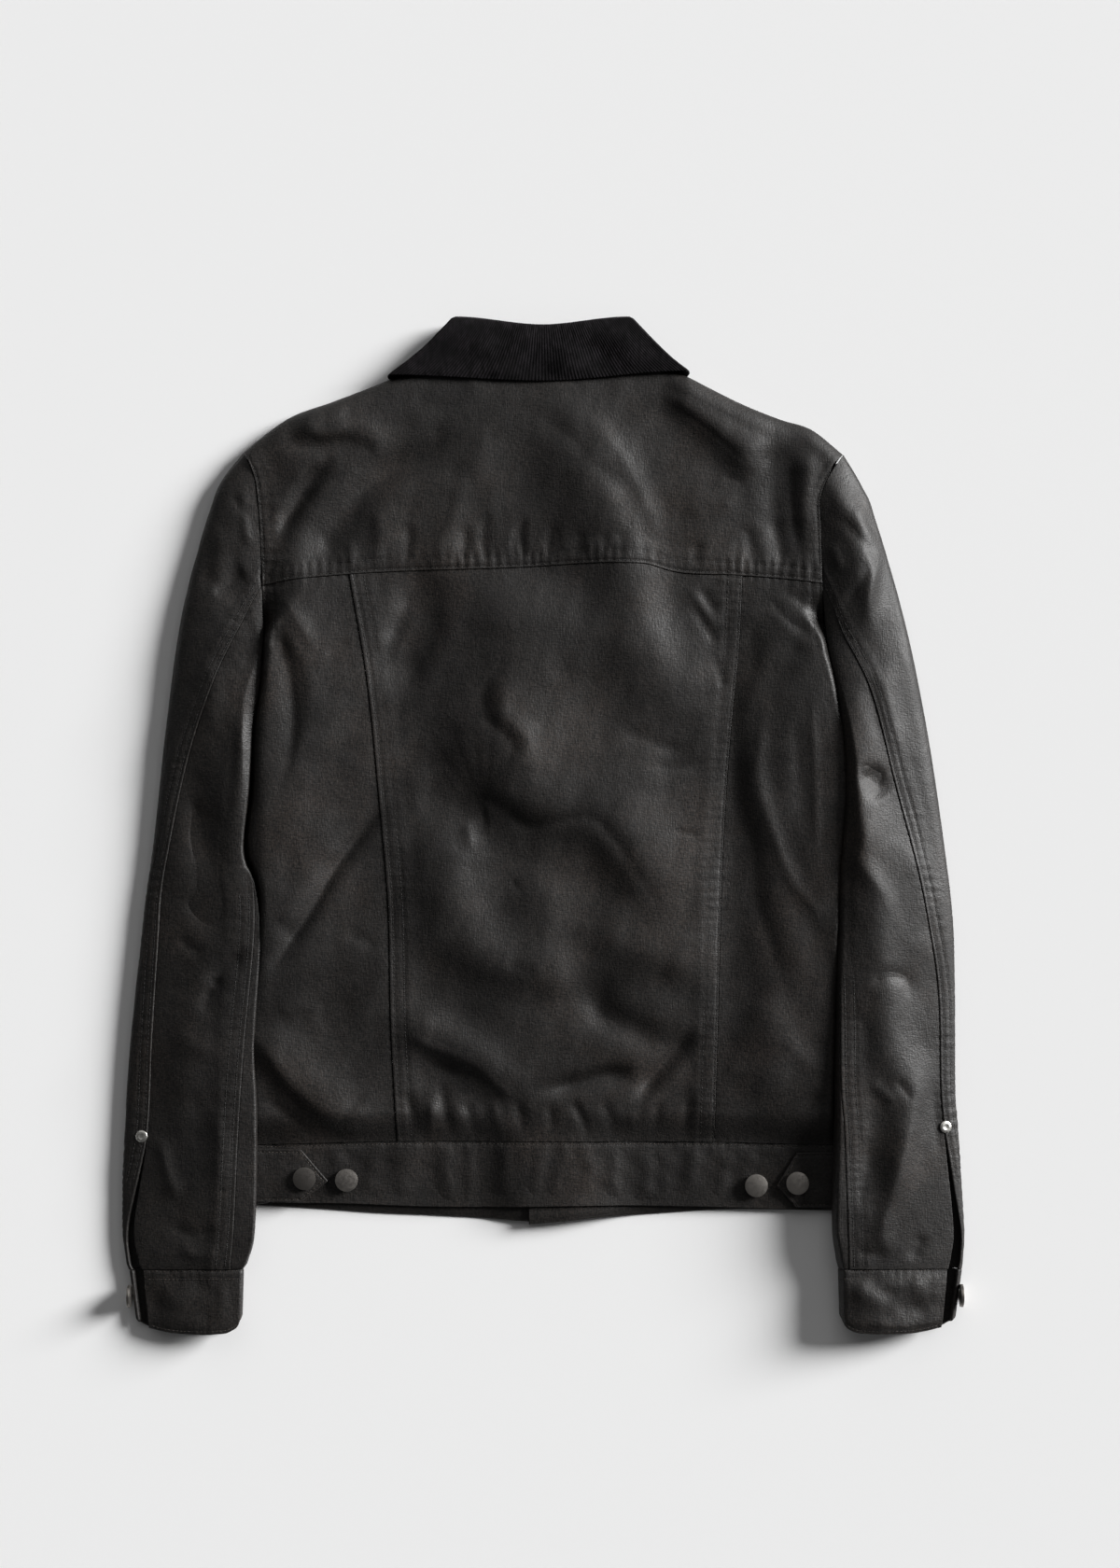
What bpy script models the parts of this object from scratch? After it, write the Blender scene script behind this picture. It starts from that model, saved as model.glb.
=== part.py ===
"""Waxed cotton trucker jacket, laid flat and face down, with its back showing.

The fronts lie on the table, the back and the yoke lie loosely over them, and each sleeve is a flattened
tube beside the body, partly over its side. Every cloth piece is a thin wall with its own outline, cut at the
real seams. +X is the wearer's right, +Y runs to the collar, +Z is up, and the table is Z = 0.
Sizes are in millimetres and become metres when a mesh is made.
"""

import bmesh
import bpy
import numpy as np

MM = 0.001

# Cloth and seams
CLOTH = 2.0  # waxed shell with its lining
BAND = 2.5  # waistband and cuffs, cloth turned double
CORD = 2.0  # corduroy collar
SEAM = 0.3  # gap between neighbouring pieces
BROW = 6.5  # height of the outermost line of a rounded fold
ON_FRONTS = CLOTH + SEAM + CLOTH  # top of the back where it lies on the fronts
SLEEVE_LIFT = 5.2  # underside of a sleeve where it lies on the body's side
TAB_LIFT = 7.9  # and where it lies on the waistband and the root of a tab
BUTTON_LIFT = 3.2  # underside of the fronts over the front buttons
COLLAR_LIFT = 2.8  # underside of the fronts over the collar's front falls

# Outlines of the body, rows of (x, y) or (y, x)
TOP_EDGE = (  # shoulders and back neck, x to y
    (-224, 279), (-211, 290), (-193, 303), (-157, 317), (-127, 328.5), (-106, 337), (-82, 343),
    (0, 342), (82, 343), (106, 337), (125, 327.5), (146, 317), (179, 303.5), (202, 296), (226, 277),
)
YOKE_SEAM = (  # x to y
    (-212, 178), (-189, 182.4), (-145, 186.6), (-24, 191.5), (61, 195), (78, 194.3), (97, 189),
    (146, 186), (190, 182.4), (212, 179.6),
)
WAIST_SEAM = ((-235, -242), (-109, -239), (0, -238.8), (129, -239.5), (235, -242))  # x to y
HEM_BACK = ((-235, -286.5), (-167, -285.3), (-82, -288), (61, -287), (118, -288), (235, -291.5))
HEM_LEFT = ((-235, -286.5), (-168, -290), (-127, -293), (-82, -295), (-42, -297.2), (-10, -299.4), (20, -300))
HEM_RIGHT = ((-10, -301.5), (20, -298.8), (41, -296.5), (83, -293.7), (125, -291), (235, -291.5))
ARMHOLE_LEFT = ((131, -208.6), (177, -210), (212, -211.4), (236, -212.8), (263, -217), (279, -224))  # y to x
ARMHOLE_RIGHT = ((128, 214.5), (163, 210.7), (198, 209.3), (222, 208.6), (247, 209), (261, 214.9), (277, 226))
SIDE_LEFT = ((-290, -232), (-200, -235), (-100, -242), (0, -248), (85, -250), (112, -231), (131, -208.6))
SIDE_RIGHT = ((-294, 232), (-200, 236), (-100, 242), (0, 248), (85, 250), (110, 232), (128, 214.5))
PRINCESS_LEFT = ((-240, -109), (-157, -113.4), (-51, -116.2), (12, -121.8), (109, -131.6), (188, -145))
PRINCESS_RIGHT = ((-240, 129), (-146, 131.6), (-10, 135.8), (72, 141.4), (128, 147), (188, 150))
FRONT_NECK = ((0, 250), (20, 254), (50, 275), (72, 308), (84, 334))  # distance from the middle, y
LAP_RIGHT_EDGE = -10.0  # free edge of the right front, which lies over the left one
LAP_LEFT_EDGE = 17.0  # free edge of the left front

# Sleeves. A row is one section across the flattened tube, from the shoulder to the cuff. lean is how much
# higher the inner side of its crown stands than the outer side.
SLEEVE_COLUMNS = ("outer_x", "outer_y", "inner_x", "inner_y", "crown", "back_seam", "under_seam", "vent", "lean")
SLEEVE_LEFT = (
    (-224, 279, -208.6, 131, 14.5, 0.68, 1.03, 0, 0),
    (-240.5, 257.5, -209.3, 119, 16.5, 0.66, 1.03, 0, 1),
    (-250.6, 233, -210, 107, 18, 0.63, 1.03, 0, 2.5),
    (-271, 156, -216, 72, 22, 0.50, 1.03, 0, 5),
    (-283.5, 65, -219, 24, 23, 0.30, 1.03, 0, 8),
    (-292, -16, -223, -21, 22, 0.18, 1.01, 0, 10),
    (-297, -51, -214, -46, 22, 0.14, 0.975, 0, 11),
    (-301, -86, -210, -86, 22, 0.145, 0.94, 0, 11),
    (-309.4, -163, -215, -163, 21, 0.178, 0.92, 0, 11),
    (-314, -233, -213.5, -219, 20, 0.18, 0.868, 0, 11),
    (-315.7, -299, -215, -301, 19, 0.094, 0.844, 5.0, 10),
    (-313, -327, -220.5, -327, 18, 0.105, 0.864, 7.5, 8),
    (-310.8, -335, -224, -333.6, 17.2, 0.12, 0.89, 8.0, 7),
)
SLEEVE_RIGHT = (
    (226, 277, 214.5, 128, 14.5, 0.65, 1.03, 0, 0),
    (239.8, 254, 217.5, 113, 16.5, 0.665, 1.03, 0, 1),
    (249, 233, 220, 98, 18, 0.68, 1.03, 0, 2.5),
    (273, 149, 224.7, 63, 22, 0.555, 1.03, 0, 5),
    (290, 65, 225.4, 19, 23, 0.465, 1.03, 0, 8),
    (302.4, -19, 221, -35, 23, 0.30, 1.02, 0, 10),
    (308.7, -75, 220, -79, 22, 0.22, 0.985, 0, 11),
    (309.8, -128, 219, -128, 21, 0.143, 0.965, 0, 11),
    (310, -198, 218.4, -196, 21, 0.126, 0.95, 0, 11),
    (312, -229, 218.4, -228, 20, 0.116, 0.925, 0, 11),
    (317, -301, 217, -298, 18, 0.085, 0.888, 5.5, 10),
    (316.4, -324, 220, -324, 17.5, 0.10, 0.906, 7.5, 8),
    (315.4, -334.3, 222, -333, 17, 0.115, 0.922, 8.0, 7),
)
CUFF_HEM = (  # share across from the outer edge, to the cuff's length
    (0, 37), (0.06, 41), (0.2, 45), (0.35, 47.5), (0.55, 48.6), (0.75, 48.4), (0.9, 46.2), (0.97, 41.5), (1, 36),
)

# Heights of the cloth over the table
LOFT = (  # y to the top of the back, over the middle of the body
    (-242, 12.5), (-210, 15), (-150, 17.5), (0, 18), (150, 17.5), (250, 17), (300, 15), (342, 11.5),
)
SEAM_TOP = 14.5  # top of the cloth along the visible armholes
SHOULDER_ROUND = 16.0  # depth of the rounded shoulder edge
OUTER_FOLD = 10.0  # a sleeve's outer edge: a tight fold, then a long slope up to the inner side
OUTER_ROUND = 60.0
ARMHOLE_ROUND = 24.0
INNER_ROUND = 10.0  # a sleeve's inner edge, where it stands highest

# Largest folds of the back: a soft ridge (height above 0) or trough along a bent line of three points.
FOLD_COLUMNS = ("start", "middle", "end", "width", "height")
BACK_FOLDS = {
    "yoke_ridge": ((10, 300), (55, 245), (92, 175), 17, 3.2),
    "yoke_hollow_right": ((92, 318), (130, 285), (160, 262), 12, -3.0),
    "armhole_hollow_right": ((186, 285), (190, 245), (200, 195), 8, -4.0),
    "yoke_hollow_left": ((-80, 292), (-135, 262), (-190, 200), 13, -3.2),
    "shoulder_hollow_left": ((-182, 292), (-160, 278), (-128, 268), 9, -2.6),
    "yoke_ridge_left": ((-120, 290), (-150, 255), (-185, 215), 10, 2.2),
    "side_ridge_left": ((-200, 140), (-197, 80), (-203, 10), 10, 2.6),
    "side_hollow_left": ((-186, 140), (-176, 90), (-182, 40), 9, -3.6),
    "blade_hollow_left": ((-80, 170), (-105, 110), (-112, 40), 20, -3.0),
    "blade_ridge_right": ((88, 165), (118, 110), (128, 50), 22, 2.4),
    "middle_hollow": ((-20, 130), (-38, 80), (-30, 30), 13, -3.0),
    "waist_arc_left": ((-78, -2), (-40, 14), (10, 2), 13, -3.6),
    "waist_arc_right": ((10, 2), (62, -10), (105, -78), 14, -3.6),
    "waist_peak": ((-56, -8), (-54, -40), (-50, -85), 16, 2.8),
    "long_crease_left": ((-122, -52), (-160, -92), (-204, -128), 7, -3.0),
    "upper_crease_left": ((-122, -4), (-142, -28), (-166, -52), 7, -2.2),
    "hem_hollow_left": ((-214, -180), (-185, -212), (-155, -230), 11, -3.0),
    "hem_ridge_left": ((-102, -154), (-72, -172), (-42, -188), 10, 3.0),
    "hem_hollow_middle": ((-98, -172), (-60, -195), (-28, -212), 10, -2.6),
    "hem_crease_right": ((-5, -200), (30, -194), (64, -186), 7, -2.6),
    "hem_crease_far": ((72, -200), (95, -180), (112, -160), 7, -2.4),
    "side_ridge_right": ((157, 55), (182, -40), (210, -115), 11, 4.0),
    "side_hollow_right": ((148, 40), (160, -40), (186, -120), 10, -3.4),
}
LEFT_SLEEVE_FOLDS = {
    "cap_crease": ((-246, 172), (-232, 184), (-222, 190), 8, -2.6),
    "inner_ridge": ((-226, 95), (-224, 40), (-228, -10), 8, 2.2),
    "elbow_hollow": ((-262, 60), (-255, 0), (-240, -50), 14, -3.0),
    "elbow_crease": ((-218, -96), (-240, -112), (-256, -140), 7, -3.0),
    "forearm_ridge": ((-262, -120), (-268, -180), (-262, -250), 16, 2.0),
}
RIGHT_SLEEVE_FOLDS = {
    "cap_ridge": ((232, 262), (250, 215), (246, 160), 10, 3.0),
    "cap_hollow": ((222, 245), (232, 210), (228, 165), 10, -3.0),
    "elbow_pocket": ((240, 42), (248, 30), (256, 18), 9, -3.0),
    "forearm_ridge": ((262, 20), (275, -60), (285, -120), 16, 2.6),
    "wrist_ridge": ((284, -160), (272, -230), (262, -290), 12, 3.0),
    "wrist_hollow": ((256, -170), (250, -225), (244, -290), 12, -2.6),
}
RIPPLE_COLUMNS = ("x", "width", "height")
WAIST_RIPPLES = (  # soft ripples across the waistband
    (-142, 7, -0.9), (-112, 9, 0.5), (-82, 6, -0.9), (-65, 8, 0.6), (-47, 5, -0.9), (-29, 5, -0.7), (-12, 5, -0.9),
    (8, 9, 0.7), (29, 6, -1.0), (46, 7, 0.6), (61, 6, -0.9), (81, 5, -0.8), (106, 6, -1.0), (124, 8, 0.6),
)

# Hardware
BUTTON_PROFILE = (  # radius, height from the cloth
    (3.0, 0.0), (3.2, 0.9), (8.2, 1.1), (8.5, 1.9), (7.7, 2.6), (6.8, 2.1), (2.6, 1.9), (1.5, 2.6),
)
BUTTON_SIDES = 14
WAIST_BUTTONS = {
    "button_tab_left": (-178.5, -266.4), "button_band_left": (-147, -267.8),
    "button_tab_right": (191.6, -269.9), "button_band_right": (160.7, -271.8),
}
FRONT_BUTTON_X = 3.5
FRONT_BUTTON_YS = (226, 142, 58, -26, -110, -194, -267)
FRONT_BUTTON_DROP = 0.2  # gap between a front button's post and the left front
TAB_THICK = 1.6
TAB_POINTS = {  # where a tab's straight edges end, its tip, and its top and bottom edges
    "left": {"root": -222.0, "shoulder": -181.5, "tip": -161.0, "tip_y": -268.5, "top": -244.5, "bottom": -284.5},
    "right": {"root": 222.0, "shoulder": 191.0, "tip": 176.0, "tip_y": -271.8, "top": -247.0, "bottom": -288.5},
}
RIVET = {"radius": 4.6, "height": 1.4, "sides": 14}

COLOURS = {  # base colour, roughness, metallic value
    "waxed_cotton": ((0.022, 0.020, 0.018), 0.48, 0.0),
    "corduroy": ((0.009, 0.008, 0.010), 0.9, 0.0),
    "gunmetal": ((0.20, 0.19, 0.18), 0.35, 1.0),
}


# Curves and fields

def ease(low, high, value):
    """0 at low, 1 at high, smooth between; low may be the larger."""
    q = np.clip((np.asarray(value, float) - low) / (high - low), 0, 1)
    return q * q * (3 - 2 * q)


def dome(q):
    """A quarter circle: 0 at 0, 1 from 1 on."""
    return np.sqrt(1 - (1 - np.clip(q, 0, 1)) ** 2)


def along(table, at):
    """The smooth curve through rows of (position, value), by cubic spans."""
    x, value = np.array(table, float).T
    slope = np.gradient(value, x)
    at = np.clip(np.asarray(at, float), x[0], x[-1])
    i = np.clip(np.searchsorted(x, at, side="right") - 1, 0, len(x) - 2)
    span = x[i + 1] - x[i]
    q = (at - x[i]) / span
    return (
        value[i] * (1 + 2 * q) * (1 - q) ** 2 + value[i + 1] * q * q * (3 - 2 * q)
        + span * (slope[i] * q * (1 - q) ** 2 - slope[i + 1] * q * q * (1 - q))
    )


def mix(a, b, share):
    return a + (b - a) * share


def fold(x, y, start, middle, end, width, height):
    """A ridge or trough along the bend start-middle-end, fading towards both of its ends."""
    steps = np.linspace(0, 1, 13)[:, None]
    a, b, c = (np.array(p, float) for p in (start, middle, end))
    line = a * (1 - steps) * (1 - 2 * steps) + b * 4 * steps * (1 - steps) + c * steps * (2 * steps - 1)
    best, place = np.full(np.shape(x), 1e9), np.zeros(np.shape(x))
    for i, (p, q) in enumerate(zip(line[:-1], line[1:])):
        d = q - p
        t = np.clip(((x - p[0]) * d[0] + (y - p[1]) * d[1]) / (d @ d), 0, 1)
        away = np.hypot(x - p[0] - t * d[0], y - p[1] - t * d[1])
        place = np.where(away < best, (i + t) / (len(line) - 1), place)
        best = np.minimum(best, away)
    return height * np.exp(-((best / width) ** 2)) * ease(0, 0.3, place) * ease(1, 0.7, place)


def folds(table, x, y):
    return sum(fold(x, y, *row) for row in table.values())


def inner_edge(rows):
    """A sleeve's inner contour, y to x, as a table along() can read."""
    return tuple(sorted((row[3], row[2]) for row in rows))


SEEN_LEFT = inner_edge(SLEEVE_LEFT) + ARMHOLE_LEFT[1:]
SEEN_RIGHT = inner_edge(SLEEVE_RIGHT) + ARMHOLE_RIGHT[1:]


def front_lap(x):
    """1 where the two fronts lie on each other, fading out beside it."""
    return ease(-40, LAP_RIGHT_EDGE, x) * ease(76, 42, x)


def front_rest(x, y):
    """Height of the fronts' underside: on the table, but over the buttons and the collar's falls."""
    buttons = BUTTON_LIFT * ease(-52, -12, x) * ease(60, 19, x)
    collar = COLLAR_LIFT * ease(158, 128, np.abs(x)) * ease(100, 160, y)
    return np.maximum(buttons, collar)


def back_top(x, y):
    """Height of the outer surface of the back and the yoke."""
    into = np.minimum(x - along(SEEN_LEFT, y), along(SEEN_RIGHT, y) - x)
    side = mix(ON_FRONTS, SEAM_TOP, ease(144, 176, y))
    height = mix(side, along(LOFT, y), ease(3, 34, into))
    height = height + folds(BACK_FOLDS, x, y) * ease(4, 26, into)
    shoulder = dome((along(TOP_EDGE, x) - y) / SHOULDER_ROUND)
    rounding = ease(84, 104, np.abs(x)) * (y > 200)
    return mix(height, mix(BROW, height, shoulder), rounding)


def sleeve_rest(side, x, y):
    """Height that a sleeve lies on: the table, or the side of the body under it."""
    body = SIDE_LEFT if side < 0 else SIDE_RIGHT
    past = (along(body, y) - x) * side
    lift = mix(SLEEVE_LIFT, TAB_LIFT, ease(-200, -238, y))
    return lift * ease(-34, -14, past) * ease(172, 146, y) * ease(-338, -298, y)


# Meshes

def material(name):
    found = bpy.data.materials.get(name)
    if found:
        return found
    colour, roughness, metallic = COLOURS[name]
    made = bpy.data.materials.new(name)
    made.use_nodes = True
    shader = made.node_tree.nodes["Principled BSDF"]
    shader.inputs["Base Color"].default_value = (*colour, 1)
    shader.inputs["Roughness"].default_value = roughness
    shader.inputs["Metallic"].default_value = metallic
    made.diffuse_color = (*colour, 1)
    return made


def solid(name, points, faces, cloth, smooth_angle=0.7):
    mesh = bpy.data.meshes.new(name)
    mesh.from_pydata([tuple(p) for p in np.asarray(points, float) * MM], [], faces)
    shape = bmesh.new()
    shape.from_mesh(mesh)
    bmesh.ops.recalc_face_normals(shape, faces=shape.faces)
    shape.to_mesh(mesh)
    shape.free()
    mesh.shade_smooth()
    mesh.set_sharp_from_angle(angle=smooth_angle)
    mesh.materials.append(material(cloth))
    made = bpy.data.objects.new(name, mesh)
    bpy.context.scene.collection.objects.link(made)
    return made


def wall(name, outer, inner, cloth="waxed_cotton"):
    """A closed solid between two grids of points, rows by columns."""
    rows, columns = outer.shape[:2]
    size = rows * columns
    faces = []
    for r in range(rows - 1):
        for c in range(columns - 1):
            quad = [r * columns + c, r * columns + c + 1, (r + 1) * columns + c + 1, (r + 1) * columns + c]
            faces.append(quad)
            faces.append([size + i for i in reversed(quad)])
    rim = [c for c in range(columns)]
    rim += [r * columns + columns - 1 for r in range(1, rows)]
    rim += [(rows - 1) * columns + c for c in range(columns - 2, -1, -1)]
    rim += [r * columns for r in range(rows - 2, 0, -1)]
    for a, b in zip(rim, rim[1:] + rim[:1]):
        faces.append([b, a, size + a, size + b])
    points = np.concatenate([outer.reshape(-1, 3), inner.reshape(-1, 3)])
    return solid(name, points, faces, cloth)


def stack(x, y, z):
    return np.stack(np.broadcast_arrays(x, y, z), axis=-1).astype(float)


# Body

def panel_grid(left, right, rows, columns):
    """Plan points between two seams (y to x) and between the yoke and waist seams."""
    down = np.linspace(0, 1, rows)[:, None]
    across = np.linspace(0, 1, columns)[None, :]
    x, y = np.zeros((rows, columns)), mix(190.0, -240.0, down) + 0 * across
    for _ in range(4):
        x = mix(left(y), right(y), across)
        y = mix(along(YOKE_SEAM, x) - SEAM / 2, along(WAIST_SEAM, x) + SEAM / 2, down)
    return x, y


def back_panel(name, left, right, rows, columns):
    x, y = panel_grid(left, right, rows, columns)
    top = back_top(x, y)
    wall(name, stack(x, y, top), stack(x, y, top - CLOTH))
    return x[0]


def left_side(y):
    return np.where(y > 131, along(ARMHOLE_LEFT, y), along(SIDE_LEFT, y)) + SEAM / 2


def right_side(y):
    return np.where(y > 128, along(ARMHOLE_RIGHT, y), along(SIDE_RIGHT, y)) - SEAM / 2


def build_back():
    """The three panels; hands back where their columns meet the yoke."""
    half = SEAM / 2
    left = back_panel("back_side_left", left_side, lambda y: along(PRINCESS_LEFT, y) - half, 21, 8)
    middle = back_panel(
        "back_center", lambda y: along(PRINCESS_LEFT, y) + half, lambda y: along(PRINCESS_RIGHT, y) - half, 21, 15
    )
    right = back_panel("back_side_right", lambda y: along(PRINCESS_RIGHT, y) + half, right_side, 21, 8)
    return np.concatenate([left, middle[1:-1], right])


def yoke_grid(seam_xs, inset):
    """The yoke, from its seam to the shoulders, where it rounds down to the brow of the fold."""
    to_edge = np.array([0, 0.17, 0.35, 0.53, 0.7, 0.83])
    rounding = np.array([11, 5, 1.5, 0])  # distance from the edge
    seam_y = along(YOKE_SEAM, seam_xs) + SEAM / 2
    left, right = along(ARMHOLE_LEFT, seam_y) + SEAM / 2, along(ARMHOLE_RIGHT, seam_y) - SEAM / 2
    across = ((seam_xs - left) / (right - left))[None, :]
    rows = []
    for share in np.concatenate([to_edge, 10 + rounding]):
        y = np.full(across.shape, 230.0)
        for _ in range(5):
            x = mix(along(ARMHOLE_LEFT, y) + SEAM / 2, along(ARMHOLE_RIGHT, y) - SEAM / 2, across)
            low, high = along(YOKE_SEAM, x) + SEAM / 2, along(TOP_EDGE, x) - inset * ease(84, 104, np.abs(x))
            y = mix(low, high, share) if share < 2 else high - (share - 10)
        edge = high + inset * ease(84, 104, np.abs(x))
        reach = dome((high - y) / (SHOULDER_ROUND - inset))
        rounding_here = ease(84, 104, np.abs(x))
        flat = back_top(x, np.minimum(y, edge - SHOULDER_ROUND)) * rounding_here + back_top(x, y) * (1 - rounding_here)
        z = mix(flat - inset, mix(BROW, flat - inset, reach), rounding_here)
        rows.append(stack(x, y, z)[0])
    return np.array(rows)


def build_yoke(seam_xs):
    wall("yoke", yoke_grid(seam_xs, 0), yoke_grid(seam_xs, CLOTH))


FRONT_ROWS = (0, 0.012, 0.03, 0.055, 0.08, 0.12, 0.17, 0.225, 0.27, 0.31, 0.36, 0.5, 0.66, 0.84, 1.0)


def front_grid(side, inset):
    """A front, from the shoulder and neck to the waist seam. Its upper edge turns up to the fold's brow."""
    lap = LAP_LEFT_EDGE if side < 0 else LAP_RIGHT_EDGE
    across = np.linspace(0, 1, 10)[None, :]
    rows = []
    for share in FRONT_ROWS:
        y = np.full(across.shape, mix(280.0, -240.0, share))
        for _ in range(6):
            outer = (left_side(y) if side < 0 else right_side(y)) - side * 2 * SEAM
            x = mix(outer, lap, across)
            away = np.abs(x)
            neck = np.where(x * side < 0, 250.0, along(FRONT_NECK, away))
            shoulder = along(TOP_EDGE, x) - inset
            high = mix(neck, shoulder, ease(82, 92, away))
            y = mix(high, along(WAIST_SEAM, x) + SEAM / 2, share)
        depth = high - y
        turn = 1 - dome(depth / (BROW - inset))
        under = front_rest(x, y) + (front_lap(x) * (CLOTH + SEAM) if side > 0 else 0)
        flat = under + inset
        z = mix(flat, BROW - SEAM, turn * ease(90, 104, away) * (y > 200))
        rows.append(stack(x, y, z)[0])
    return np.array(rows)


def build_fronts():
    for side, name in ((-1, "front_left"), (1, "front_right")):
        wall(name, front_grid(side, 0), front_grid(side, CLOTH))


# Waistband and tabs

def waist_columns():
    """Even columns along the waistband, with one on each ripple and on its two flanks."""
    xs = [x for x in np.linspace(-232, 232, 41)]
    for x, width, height in WAIST_RIPPLES:
        xs = [at for at in xs if abs(at - x) > 1.2 * width] + [x - width, x, x + width]
    xs = sorted(xs)
    return np.array([xs[0]] + [b for a, b in zip(xs, xs[1:]) if b - a > 1.5])


WAIST_XS = waist_columns()


def front_band_under(side, x):
    """Underside of a front's waistband, which depends on x alone."""
    return front_rest(x, np.zeros_like(x)) + (front_lap(x) * (BAND + SEAM) if side > 0 else 0)


def back_band_top(x):
    wave = 1.0 + sum(height * np.exp(-(((x - at) / width) ** 2)) for at, width, height in WAIST_RIPPLES)
    seen = ease(3, 30, np.minimum(x + 214, 218 - x))
    return front_band_under(1, x) + BAND + SEAM + BAND + seen * (0.6 + wave)


def band(name, xs, upper, lower, under, thick):
    share = np.linspace(0, 1, 4)[:, None]
    y = mix(upper(xs)[None, :], lower(xs)[None, :], share)
    wall(name, stack(xs[None, :], y, under(xs)[None, :] + thick), stack(xs[None, :], y, under(xs)[None, :]))


def build_waistband():
    def seam(x):
        return along(WAIST_SEAM, x) - SEAM / 2

    band("waistband_back", WAIST_XS, seam, lambda x: along(HEM_BACK, x), lambda x: back_band_top(x) - BAND, BAND)
    left = WAIST_XS[WAIST_XS <= LAP_LEFT_EDGE][::2]
    left = np.append(left[left < LAP_LEFT_EDGE - 4], LAP_LEFT_EDGE)
    right = WAIST_XS[WAIST_XS >= LAP_RIGHT_EDGE][::-1][::2]
    right = np.append(right[right > LAP_RIGHT_EDGE + 4], LAP_RIGHT_EDGE)[::-1]
    band("waistband_front_left", left, seam, lambda x: along(HEM_LEFT, x), lambda x: front_band_under(-1, x), BAND)
    band("waistband_front_right", right, seam, lambda x: along(HEM_RIGHT, x), lambda x: front_band_under(1, x), BAND)


def band_facet_top(x):
    """Top of the waistband's solid, straight between its columns."""
    return np.interp(x, WAIST_XS, back_band_top(WAIST_XS))


def build_tabs():
    """Pointed side tabs, made on the waistband's own columns and moved out."""
    for name, t in TAB_POINTS.items():
        low, high = sorted((t["root"], t["tip"]))
        xs = WAIST_XS[(WAIST_XS > low + 1) & (WAIST_XS < high - 1)]
        xs = np.unique(np.concatenate([[low], xs, [high, t["shoulder"]]]))
        taper = np.clip((xs - t["shoulder"]) / (t["tip"] - t["shoulder"]), 0, 0.97)
        y_top, y_low = mix(t["top"], t["tip_y"], taper), mix(t["bottom"], t["tip_y"], taper)
        under = band_facet_top(xs) + SEAM
        y = np.stack([y_top, y_low])
        wall(f"tab_{name}", stack(xs[None, :], y, under[None, :] + TAB_THICK), stack(xs[None, :], y, under[None, :]))


# Sleeves and cuffs

def sleeve_rows(rows, count):
    """The table's columns at count even places along the sleeve."""
    table = np.array(rows, float)
    places = np.arange(len(rows), dtype=float)
    at = np.linspace(0, len(rows) - 1, count)
    return {
        column: along(np.stack([places, table[:, i]], axis=1), at) for i, column in enumerate(SLEEVE_COLUMNS)
    }, at


def ring_share(s):
    """Place round the ring, 0 at the outer fold over the top to 0.5 at the inner one, from a share across.
    Past 1 the share goes on along the underside."""
    top = np.arccos(1 - 2 * np.clip(s, 0, 1)) / (2 * np.pi)
    below = 1 - np.arccos(1 - 2 * np.clip(2 - s, 0, 1)) / (2 * np.pi)
    return np.where(s <= 1, top, below)


def sleeve_surface(side, station, armhole, cap, place, inset, table):
    """Points of a sleeve at places round its ring. armhole fades out the curve of the armhole seam."""
    s = (1 - np.cos(2 * np.pi * place)) / 2
    over = place <= 0.5
    ox, oy, ix, iy = (station[k] for k in ("outer_x", "outer_y", "inner_x", "inner_y"))
    x, y = mix(ox, ix, s), mix(oy, iy, s)
    first = table[0]
    seam_y = mix(first[1], first[3], s)
    seam_x = along(ARMHOLE_LEFT if side < 0 else ARMHOLE_RIGHT, seam_y) + side * SEAM
    x = x + (seam_x - mix(first[0], first[2], s)) * armhole
    width = np.hypot(ix - ox, iy - oy)
    from_outer, from_inner = s * width, (1 - s) * width
    squeeze = 1 - 2 * inset / width
    cx, cy = (ox + ix) / 2, (oy + iy) / 2
    x, y = cx + (x - cx) * squeeze, cy + (y - cy) * squeeze
    rest = sleeve_rest(side, x, y)
    brow = mix(sleeve_rest(side, ox, oy), sleeve_rest(side, ix, iy), s) + BROW
    round_in = mix(INNER_ROUND, 4.0, armhole)
    crest = station["crown"] + station["lean"] * (s - 0.45) - inset
    crest = crest + folds(cap, x, y) * ease(0, 22, from_outer) * ease(0, 14, from_inner)
    long_slope = dome(from_outer / mix(OUTER_ROUND, ARMHOLE_ROUND, armhole))
    rise = mix(dome(from_outer / mix(OUTER_FOLD, ARMHOLE_ROUND, armhole)), long_slope, 0.7)
    up = brow + (crest - brow) * rise * dome(from_inner / round_in)
    near = np.minimum(from_outer, from_inner)
    low = rest + inset + (brow - rest - inset) * (1 - dome(near / BROW))
    return stack(x, y, np.where(over, up, low))


def sleeve_grid(side, rows, cap, start, end, count, columns, inset):
    """Grid of a sleeve piece between two lines round the ring, given as functions of the station."""
    values, at = sleeve_rows(rows, count)
    out = []
    for i in range(count):
        station = {k: v[i] for k, v in values.items()}
        width = np.hypot(station["inner_x"] - station["outer_x"], station["inner_y"] - station["outer_y"])
        first, last = start(station, width), end(station, width)
        place = np.linspace(first, last, columns)
        armhole = 1 - ease(0, 4.0, at[i])
        out.append(sleeve_surface(side, station, armhole, cap, place % 1.0, inset, rows))
    return np.array(out)


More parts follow.
